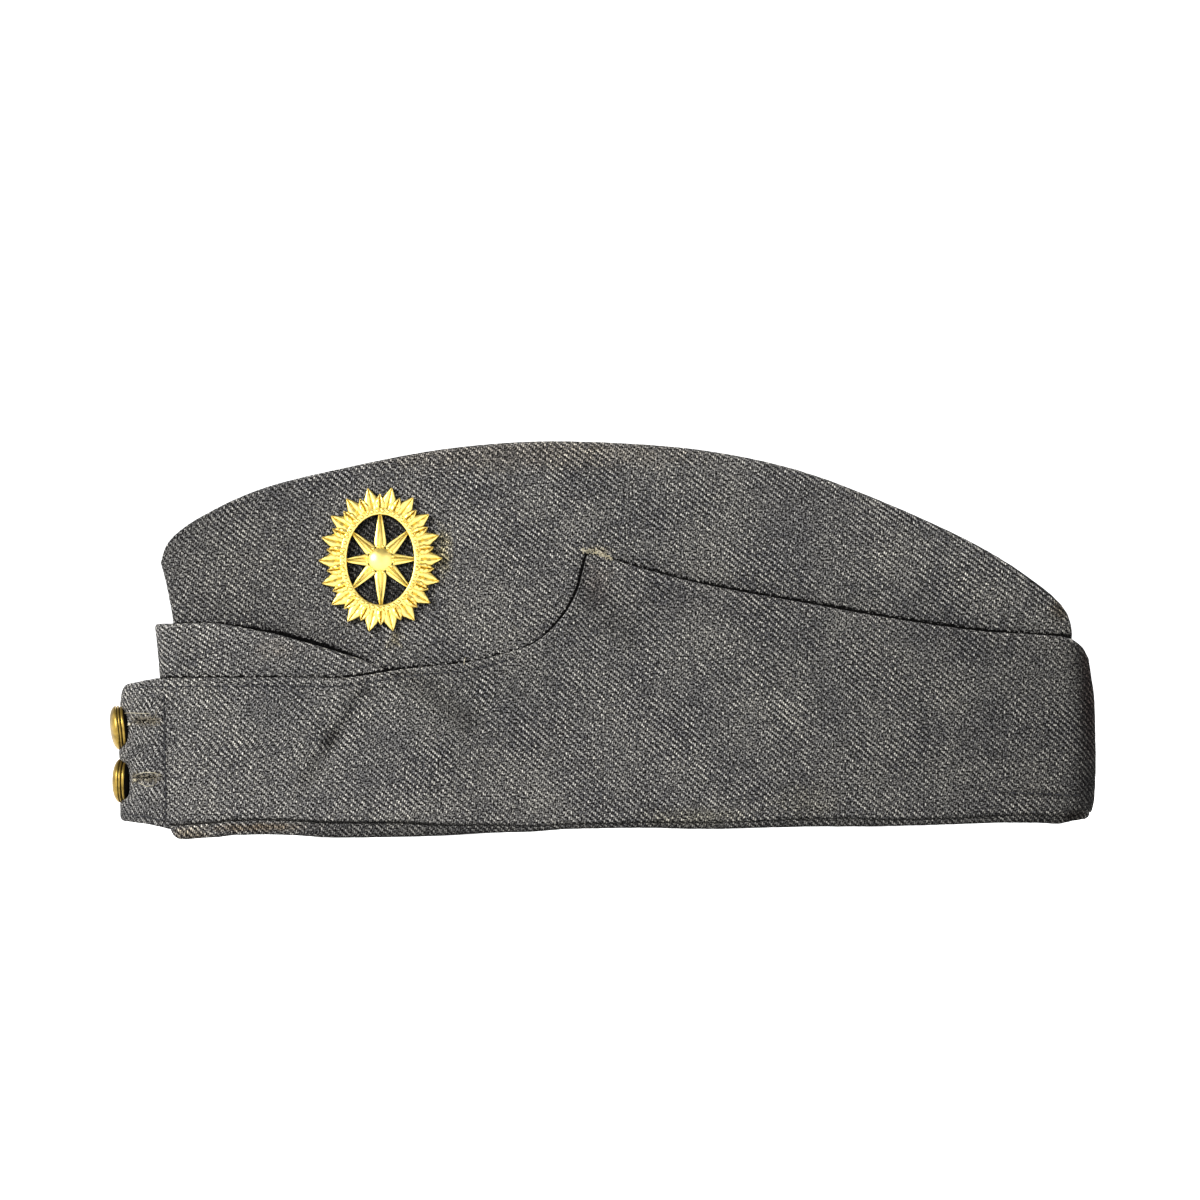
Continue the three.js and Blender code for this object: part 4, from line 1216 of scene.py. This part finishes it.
def finish_badge():
    mesh = badge_piece()
    # The slider: a strip from the foot of the hoop, in through the panel and down behind it
    reach = badge_stand + CROWN_CLOTH + 0.7
    for size, spot in (((5, 0.9, reach + 1.2), (0, -HOOP_HEIGHT, (0.3 - reach - 0.9) / 2)),
                       ((5, 20.0, 0.9), (0, -HOOP_HEIGHT - 9.5, -reach - 0.45))):
        matrix = Matrix.Translation(spot) @ Matrix.Diagonal((*size, 1))
        made = bmesh.ops.create_cube(mesh, size=1, matrix=matrix)["verts"]
        bevel_edges(mesh, edges_of(made), 0.2, 2)
    bmesh.ops.transform(mesh, matrix=badge_frame, verts=mesh.verts)
    bmesh.ops.recalc_face_normals(mesh, faces=mesh.faces)
    for face in mesh.faces:
        face.smooth = True
    for edge in mesh.edges:
        edge.smooth = edge.calc_face_angle(0) < 0.75
    return finish_mesh("badge_gilt", mesh)


badge = finish_badge()

# %% [markdown]
# ## Materials, and a helper for their nodes
# Colours are written as sRGB hex, as a maker would read them off a card, and turned to linear by one
# function. A look is written as a function that returns what the shader is fed. It is handed the one
# function that adds a node and joins it up; a node given as a value feeds its output.

# %% Helpers for materials
def linear(hex_colour):
    values = [int(hex_colour[k:k + 2], 16) / 255 for k in (1, 3, 5)]
    return (*[v / 12.92 if v <= 0.04045 else ((v + 0.055) / 1.055) ** 2.4 for v in values], 1.0)


def make_material(name, look):
    material = bpy.data.materials.new(name)
    material.use_nodes = True
    tree = material.node_tree
    tree.nodes.clear()

    def add_node(kind, feeds, **settings):
        made = tree.nodes.new("ShaderNode" + kind)
        for setting, value in settings.items():
            setattr(made, setting, value)
        for socket, value in feeds.items():
            if isinstance(value, bpy.types.Node):
                value = next(output for output in value.outputs if output.enabled)
            if isinstance(value, bpy.types.NodeSocket):
                tree.links.new(value, made.inputs[socket])
            else:
                made.inputs[socket].default_value = value
        return made

    shader = add_node("BsdfPrincipled", look(add_node))
    add_node("OutputMaterial", {"Surface": shader})
    print(name, len(tree.nodes), "nodes")
    return material


def spread_noise(add_node, feeds, low, high, to_low=0.0, to_high=1.0):
    """Noise whose usual range, low to high, is spread over another one."""
    source = add_node("TexNoise", feeds)
    limits = {"From Min": low, "From Max": high, "To Min": to_low, "To Max": to_high}
    return add_node("MapRange", {"Value": source, **limits})


# %% [markdown]
# ## Serge
# Serge is a 2/2 twill: each warp goes over two wefts and under two, one step further along at each
# row, so pale warp floats climb in diagonal wales over a dark weft. The yarns are 0.55 mm and 0.46 mm
# apart, which puts the wales 1.4 mm apart. An image of the weave would repeat, so the pattern is
# counted out from the tape measure in the UV map, and each float gets its own tone and height.

# %% The weave
WARP_PITCH, WEFT_PITCH = 0.55, 0.46  # mm
WARP_TONES = ("#77777a", "#e8e5de")  # darkest and palest
WEFT_TONES = ("#131316", "#46464b")
FELT_TONES = ("#1b1b1e", "#b4b2ae")
FADE = ((0.57, 0.572, 0.592, 1), (1.0, 0.985, 0.945, 1))  # what the least and most faded cloth keeps
PLAIN_CLOTH = "#676563"  # the clean cloth seen from a step away; a stain is given as it looks beside it
STAINS_AND_SHADE = [  # place in mm of the frame, radii in mm, look
    ((-47.4, -16, 85.6), (4, 12, 10), "#81785a"),
    ((-75.3, -22, 65.1), (5, 12, 3.5), "#84795a"),
    ((-61.9, -23, 58.8), (4.5, 12, 4.5), "#8d7e4c"),
    ((-123.5, -10, 1.8), (9, 20, 4.0), "#6f6659"),
    ((-104.0, -22, 3.6), (19, 20, 1.9), "#5a5146"),
    ((-1.0, -14, 75.0), (6, 12, 9), "#645f5c"),
    ((25.0, -20, 70.0), (50, 14, 11), "#5d5b5a"),
    ((26.0, -30, 4.5), (22, 12, 4), "#6b6861"),
    ((60.0, -30, 9.0), (14, 12, 9), "#6a6761"),
    ((137.6, -3, 65.0), (4, 12, 6), "#57514a"),
    ((146.0, -3, 38.0), (4, 12, 26), "#5c5250"),
    # A painted shadow under the back end of the foot
    ((141.0, -20, 2.5), (6, 30, 2.5), "#35302c"),
    ((-0.5, -14, 84.6), (5, 12, 1.8), "#7a7366"),
    ((-136.5, -8, 36.0), (7, 12, 2.5), "#716c64"),
    ((-136.5, -10, 19.0), (6, 12, 2.5), "#6f6a62"),
    ((-20.0, -8, 114.0), (70, 12, 7), "#706b65"),
    ((-97.0, -20, 57.0), (10, 12, 4), "#6b6560"),
]


def weave_nodes(add_node, tape):
    """The woven colour and the height of the yarns, counted out on the tape measure."""
    # Worn cloth pulls its wales a little out of true
    drift = add_node("TexNoise", {"Vector": tape, "Scale": 0.16, "Detail": 2.0}).outputs["Color"]
    drift = add_node("VectorMath", {0: drift, 1: (0.5, 0.5, 0.5)}, operation="SUBTRACT")
    pulled = add_node("VectorMath", {0: drift, 1: (0.5, 0.5, 0.0), 2: tape}, operation="MULTIPLY_ADD")
    yarns = add_node("VectorMath", {0: pulled, 1: (WARP_PITCH, WEFT_PITCH, 1.0)}, operation="DIVIDE")
    whole = add_node("VectorMath", {0: yarns}, operation="FLOOR")
    part = add_node("VectorMath", {0: yarns}, operation="FRACTION")
    count = add_node("SeparateXYZ", {0: whole}).outputs
    within = add_node("SeparateXYZ", {0: part}).outputs
    # The step of four says which yarn is on top
    total = add_node("Math", {0: count[0], 1: count[1]}, operation="ADD")
    step = add_node("Math", {0: total, 1: 4.0}, operation="FLOORED_MODULO")
    is_warp = add_node("Math", {0: step, 1: 1.5}, operation="LESS_THAN")
    repeat = add_node("Math", {0: total, 1: 0.25}, operation="MULTIPLY")
    repeat = add_node("Math", {0: repeat}, operation="FLOOR")
    warp_gone = add_node("Math", {0: step, 1: within[1]}, operation="ADD")
    weft_gone = add_node("Math", {0: step, 1: within[0]}, operation="ADD")
    weft_gone = add_node("Math", {0: weft_gone, 1: 2.0}, operation="SUBTRACT")
    gone = add_node("Mix", {0: is_warp, 2: weft_gone, 3: warp_gone})
    across = add_node("Mix", {0: is_warp, 2: within[1], 3: within[0]})
    # Every float of every yarn gets a number, and from it a tone of its own
    far_weft = add_node("Math", {0: count[1], 1: 5000.0}, operation="ADD")
    yarn = add_node("Mix", {0: is_warp, 2: far_weft, 3: count[0]})
    float_id = add_node("CombineXYZ", {0: yarn, 1: repeat})
    tone = add_node("TexWhiteNoise", {"Vector": float_id}, noise_dimensions="2D").outputs["Value"]
    weft, warp = (
        add_node("Mix", {0: tone, 6: linear(dark), 7: linear(light)}, data_type="RGBA")
        for dark, light in (WEFT_TONES, WARP_TONES)
    )
    # Each float is a rounded ridge that dives under at both ends
    arch = add_node("Math", {0: gone, 1: math.pi / 2}, operation="MULTIPLY")
    arch = add_node("Math", {0: arch}, operation="SINE")
    arch = add_node("Math", {0: arch, 1: 0.5, 2: 0.5}, operation="MULTIPLY_ADD")
    roundness = add_node("Math", {0: across, 1: math.pi}, operation="MULTIPLY")
    roundness = add_node("Math", {0: roundness}, operation="SINE")
    height = add_node("Math", {0: arch, 1: roundness}, operation="MULTIPLY")
    return add_node("Mix", {0: is_warp, 6: weft, 7: warp}, data_type="RGBA"), height


# %% Serge: felt, fading, wear and stains over the weave
def serge_look(add_node):
    tape = add_node("UVMap", {}, uv_map="weave")
    spot = add_node("TexCoord", {}).outputs["Object"]
    woven, height = weave_nodes(add_node, tape)
    # Felting hides the wales in places
    melange = spread_noise(add_node, {"Vector": tape, "Scale": 1.9, "Detail": 2.0}, 0.3, 0.7)
    dark, light = (linear(tone) for tone in FELT_TONES)
    felted = add_node("Mix", {0: melange, 6: dark, 7: light}, data_type="RGBA")
    felt = spread_noise(add_node, {"Vector": tape, "Scale": 0.05, "Detail": 3.0}, 0.35, 0.65, 0.12, 0.52)
    cloth = add_node("Mix", {0: felt, 6: woven, 7: felted}, data_type="RGBA")
    # Heathered wool: single fibres in the yarn are paler or darker than the rest
    heather = spread_noise(add_node, {"Vector": tape, "Scale": 1.9, "Detail": 0.5}, 0.36, 0.64, 0.1, 2.1)
    # Painted shade darkens the valleys between yarns, and broad patches have faded
    valley = add_node("MapRange", {"Value": height, "From Max": 0.75, "To Min": 0.2})
    faded = {"Vector": tape, "Scale": 0.04, "Detail": 5.0, "Roughness": 0.6}
    faded = spread_noise(add_node, faded, 0.3, 0.7)
    faded = add_node("Mix", {0: faded, 6: FADE[0], 7: FADE[1]}, data_type="RGBA")
    # Rubbing and a painted highlight pale the crests of folded edges; painted shade darkens creases,
    # grooves, inner faces, the cloth beside edges and inside the badge's hoop, and the seams are darker
    wear_and_painted_light = add_node("Attribute", {}, attribute_name="wear_and_painted_light").outputs["Fac"]
    wear_and_painted_light = add_node("Math", {0: wear_and_painted_light, 1: 1.0}, operation="ADD")
    # Painted shadow: what lies behind an edge is darkened nearly to black in the colour, and its border
    # is ragged where the yarns stand up
    painted_gap_shadow = add_node("Attribute", {}, attribute_name="painted_gap_shadow").outputs["Fac"]
    ragged = spread_noise(add_node, {"Vector": tape, "Scale": 1.2, "Detail": 1.0}, 0.38, 0.62, -0.4, 0.4)
    painted_gap_shadow = add_node("Math", {0: painted_gap_shadow, 1: ragged}, operation="ADD")
    lit = add_node("MapRange", {"Value": painted_gap_shadow, "From Min": 0.2, "From Max": -0.15, "To Min": 0.02})
    for shade in (heather, valley, faded, wear_and_painted_light, lit):
        cloth = add_node("Mix", {0: 1.0, 6: cloth, 7: shade}, data_type="RGBA", blend_type="MULTIPLY")
    # Polish, rust and grease stains, blots that are only darker or paler, and a painted shadow under the
    # back end of the foot, each a soft blot with a broken edge
    blotch = add_node("TexNoise", {"Vector": spot, "Scale": 420.0, "Detail": 3.0})
    for place, radii, look in STAINS_AND_SHADE:
        centre, per_radius = tuple(c * MM for c in place), tuple(1 / (r * MM) for r in radii)
        away = add_node("VectorMath", {0: spot, 1: centre}, operation="SUBTRACT")
        away = add_node("VectorMath", {0: away, 1: per_radius}, operation="MULTIPLY")
        away = add_node("VectorMath", {0: away}, operation="LENGTH").outputs["Value"]
        away = add_node("Math", {0: away, 1: blotch}, operation="ADD")
        edges = {"Value": away, "From Min": 1.6, "From Max": 0.6}
        amount = add_node("MapRange", edges, interpolation_type="SMOOTHSTEP")
        tint = tuple(a / b for a, b in zip(linear(look), linear(PLAIN_CLOTH)))
        blotted = add_node("Mix", {0: 1.0, 6: cloth, 7: tint}, data_type="RGBA", blend_type="MULTIPLY")
        cloth = add_node("Mix", {0: amount, 6: cloth, 7: blotted}, data_type="RGBA")
    fuzz = add_node("TexNoise", {"Vector": tape, "Scale": 5.0, "Detail": 2.0})
    relief = add_node("Math", {0: fuzz, 1: 0.35, 2: height}, operation="MULTIPLY_ADD")
    bump = add_node("Bump", {"Strength": 1.0, "Distance": 0.14 * MM, "Height": relief})
    return {
        "Base Color": cloth, "Roughness": 0.95, "Specular IOR Level": 0.05, "Sheen Weight": 0.02,
        "Sheen Roughness": 0.5, "Normal": bump,
    }


serge = make_material("wool_serge_2_2_twill", serge_look)
for piece in (crown_left, crown_right, crown_gusset, peak, curtain_left, curtain_right):
    piece.data.materials.append(serge)

# %% [markdown]
# ## Threads
# The machine thread is dyed dark and made nearly black, as painted shade of the groove it lies in;
# the worked buttonholes and the inner canvas are undyed cotton gone brown. Thread is twisted, so its
# tone changes along it; noise along the fibre is enough.

# %% Thread materials
def thread_look(dark, light, scale):
    def look(add_node):
        spot = add_node("TexCoord", {}).outputs["Object"]
        tone = spread_noise(add_node, {"Vector": spot, "Scale": scale, "Detail": 2.0}, 0.3, 0.7)
        colour = add_node("Mix", {0: tone, 6: linear(dark), 7: linear(light)}, data_type="RGBA")
        bump = add_node("Bump", {"Strength": 0.5, "Distance": 0.05 * MM, "Height": tone})
        return {"Base Color": colour, "Roughness": 0.85, "Normal": bump}

    return look


# Nearly black: the thread's own dark dye and painted shade of the stitch groove
dyed_and_shaded_thread = make_material("dyed_cotton_thread_painted_shade", thread_look("#0f1014", "#2c2d33", 900.0))
worn_thread = make_material("undyed_cotton_thread", thread_look("#4a453d", "#b3a993", 1500.0))
pale_thread = make_material("frayed_canvas_fibre", thread_look("#bfb391", "#f4ecd4", 500.0))
for piece, material in (
    (stitches_left, dyed_and_shaded_thread), (stitches_right, dyed_and_shaded_thread), (worked_edges, worn_thread),
    (shank_knots, pale_thread), (loose_ends, pale_thread), (frayed_corner, pale_thread),
):
    piece.data.materials.append(material)

# %% [markdown]
# ## Brass and gilding metal
# The buttons are pressed brass, handled until the high places shine and brown in the crimp. The badge
# is gilding metal, a redder brass, polished on top and dark in the die's recesses with tarnish and
# painted shade. A metal's colour is its reflection, so both keep their default IOR and change in
# colour and roughness only. The backs of the buttons are near black, painted shade where they face
# away from the light, under a dull crust which reflects nothing, so they are no metal to the light;
# the crimp grooves share that dark finish, as tarnish.

# %% Metal materials
def brass_look(add_node):
    spot = add_node("TexCoord", {}).outputs["Object"]
    tarnish = {"Vector": spot, "Scale": 260.0, "Detail": 6.0, "Roughness": 0.65}
    tarnish = spread_noise(add_node, tarnish, 0.35, 0.7)
    specks = {"Vector": spot, "Scale": 2600.0, "Detail": 3.0}
    specks = spread_noise(add_node, specks, 0.55, 0.78, 0.0, 0.6)
    paler, brown = linear("#ad9146"), linear("#645127")
    colour = add_node("Mix", {0: tarnish, 6: paler, 7: brown}, data_type="RGBA")
    colour = add_node("Mix", {0: specks, 6: colour, 7: linear("#3d2c12")}, data_type="RGBA")
    rough = add_node("MapRange", {"Value": tarnish, "To Min": 0.36, "To Max": 0.5})
    bump = add_node("Bump", {"Strength": 0.3, "Distance": 0.02 * MM, "Height": specks})
    return {"Base Color": colour, "Metallic": 1.0, "Roughness": rough, "Normal": bump}


def gilding_look(add_node):
    spot = add_node("TexCoord", {}).outputs["Object"]
    polish_and_painted_shade = add_node("Attribute", {}, attribute_name="polish_and_painted_shade").outputs["Fac"]
    grime = add_node("TexNoise", {"Vector": spot, "Scale": 700.0, "Detail": 4.0})
    depth = add_node("Math", {0: grime, 1: 0.4, 2: polish_and_painted_shade}, operation="MULTIPLY_ADD")
    paler = add_node("MapRange", {"Value": depth, "From Min": 0.42, "From Max": 0.9})
    # Low and sloping places are darker: tarnish in the recesses and painted shade
    colour = add_node("Mix", {0: paler, 6: linear("#2c2209"), 7: linear("#eed67c")}, data_type="RGBA")
    limits = {"From Min": 0.3, "From Max": 0.7, "To Min": 0.34, "To Max": 0.5}
    rough = add_node("MapRange", {"Value": grime, **limits})
    bump = add_node("Bump", {"Strength": 0.3, "Distance": 0.04 * MM, "Height": grime})
    return {"Base Color": colour, "Metallic": 1.0, "Roughness": rough, "Normal": bump}


def back_look(add_node):
    spot = add_node("TexCoord", {}).outputs["Object"]
    crust = add_node("TexNoise", {"Vector": spot, "Scale": 900.0, "Detail": 4.0})
    # Near black: painted shade on backs that face away from the light, mottled by a dull crust; in the
    # grooves it is tarnish
    colour = add_node("Mix", {0: crust, 6: linear("#040302"), 7: linear("#120d06")}, data_type="RGBA")
    bump = add_node("Bump", {"Strength": 0.6, "Distance": 0.05 * MM, "Height": crust})
    return {"Base Color": colour, "Roughness": 0.9, "Specular IOR Level": 0.1, "Normal": bump}


brass = make_material("pressed_brass_aged", brass_look)
tarnish_and_shade = make_material("brass_back_tarnish_and_painted_shade", back_look)
for piece in buttons.values():
    piece.data.materials.append(brass)
    piece.data.materials.append(tarnish_and_shade)
badge.data.materials.append(make_material("gilding_metal_stamped", gilding_look))

# %% [markdown]
# ## On the cap's body
# Nothing on the cap moves by itself, so every piece rides on the one body, and each cloth piece, button
# and badge stands for the imported solid that it was drawn over.

# %% Ride and replace
STANDS_FOR = [
    (crown_left, "crown_panel_left", "serge_cloth"), (crown_right, "crown_panel_right", "serge_cloth"),
    (crown_gusset, "crown_gusset", "serge_cloth"), (peak, "peak", "serge_cloth"),
    (curtain_left, "curtain_left", "serge_cloth"), (curtain_right, "curtain_right", "serge_cloth"),
    (buttons["upper"], "button_upper", "button_brass"),
    (buttons["lower"], "button_lower", "button_brass"), (badge, "badge", "badge_gilding_metal"),
]
for piece, node, finish in STANDS_FOR:
    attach(piece, "root")
    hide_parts(node)
for piece in (stitches_left, stitches_right, worked_edges, shank_knots, loose_ends, frayed_corner):
    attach(piece, "root")

# %% [markdown]
# ## Stage, light and camera
# The cap stands on a pale sweep that curves up all round, so that it has a plain ground from any side.
# A product shot is lit with large soft lights; the main one is at the front left, so the badge's
# shadow falls to the right. The camera has a long lens, square on to the left side, and leans a little.

# %% Stage
SWEEP_PROFILE = [  # radius and height in metres
    (0, 0), (5, 0), (11, 0), (13, 0.2), (14.6, 0.8), (15.9, 2.0), (16.6, 3.6), (16.9, 6.5), (17, 12),
]


def paper_look(add_node):
    white = linear("#f6f6f6")
    return {
        "Base Color": white, "Roughness": 0.9, "Specular IOR Level": 0.1, "Emission Color": white,
        "Emission Strength": 1.15,
    }


def sweep_mesh():
    mesh = bmesh.new()
    spin_profile(mesh, SWEEP_PROFILE, 1, 96, 1e-5)
    for face in mesh.faces:
        face.smooth = True
        is_wall = abs(face.normal.z) <= 0.01
        if face.normal.z < -0.01 or (is_wall and face.normal.dot(face.calc_center_median()) > 0):
            face.normal_flip()
    data = bpy.data.meshes.new("studio_sweep")
    mesh.to_mesh(data)
    mesh.free()
    return data


sweep = add_object("studio_sweep", sweep_mesh())
sweep.data.materials.append(make_material("studio_paper_white", paper_look))
sweep.visible_diffuse = False

# %% Light
TARGET = Vector((-0.00016, 0, 0.0697))


def soft_light(name, place, size, power):
    light = bpy.data.lights.new(name, "AREA")
    light.shape = "DISK"
    light.size = size
    light.energy = power
    holder = add_object(name, light)
    holder.location = place
    holder.rotation_mode = "QUATERNION"
    holder.rotation_quaternion = (TARGET - Vector(place)).to_track_quat("-Z", "Y")


soft_light("key_softbox", (-2.5, -1.9, 1.4), 0.5, 115)
soft_light("fill_softbox", (1.6, -2.7, 0.9), 1.4, 12)
soft_light("back_softbox", (0.6, 2.4, 2.2), 1.4, 60)
world = bpy.data.worlds.new("studio_air")
world.use_nodes = True
air = world.node_tree.nodes["Background"].inputs
air["Color"].default_value = (1, 1, 1, 1)
air["Strength"].default_value = 0.3
bpy.context.scene.world = world
bpy.context.scene.view_settings.view_transform = "Standard"

# %% Camera
CAMERA_DISTANCE, FRAME_WIDTH = 10.0, 0.36
CAMERA_RISE, CAMERA_LEAN = math.radians(0.2), math.radians(-1.05)
camera = add_object("camera", bpy.data.cameras.new("camera"))
camera.data.sensor_width = 36
camera.data.lens = camera.data.sensor_width * CAMERA_DISTANCE / FRAME_WIDTH
camera.data.clip_end = 60
away = Vector((0, -math.cos(CAMERA_RISE), math.sin(CAMERA_RISE)))
camera.location = TARGET + CAMERA_DISTANCE * away
camera.rotation_mode = "QUATERNION"
level = (TARGET - camera.location).to_track_quat("-Z", "Y").to_matrix()
camera.rotation_quaternion = (level @ Matrix.Rotation(CAMERA_LEAN, 3, "Z")).to_quaternion()
bpy.context.scene.camera = camera

# %% Finish
bpy.context.view_layer.update()
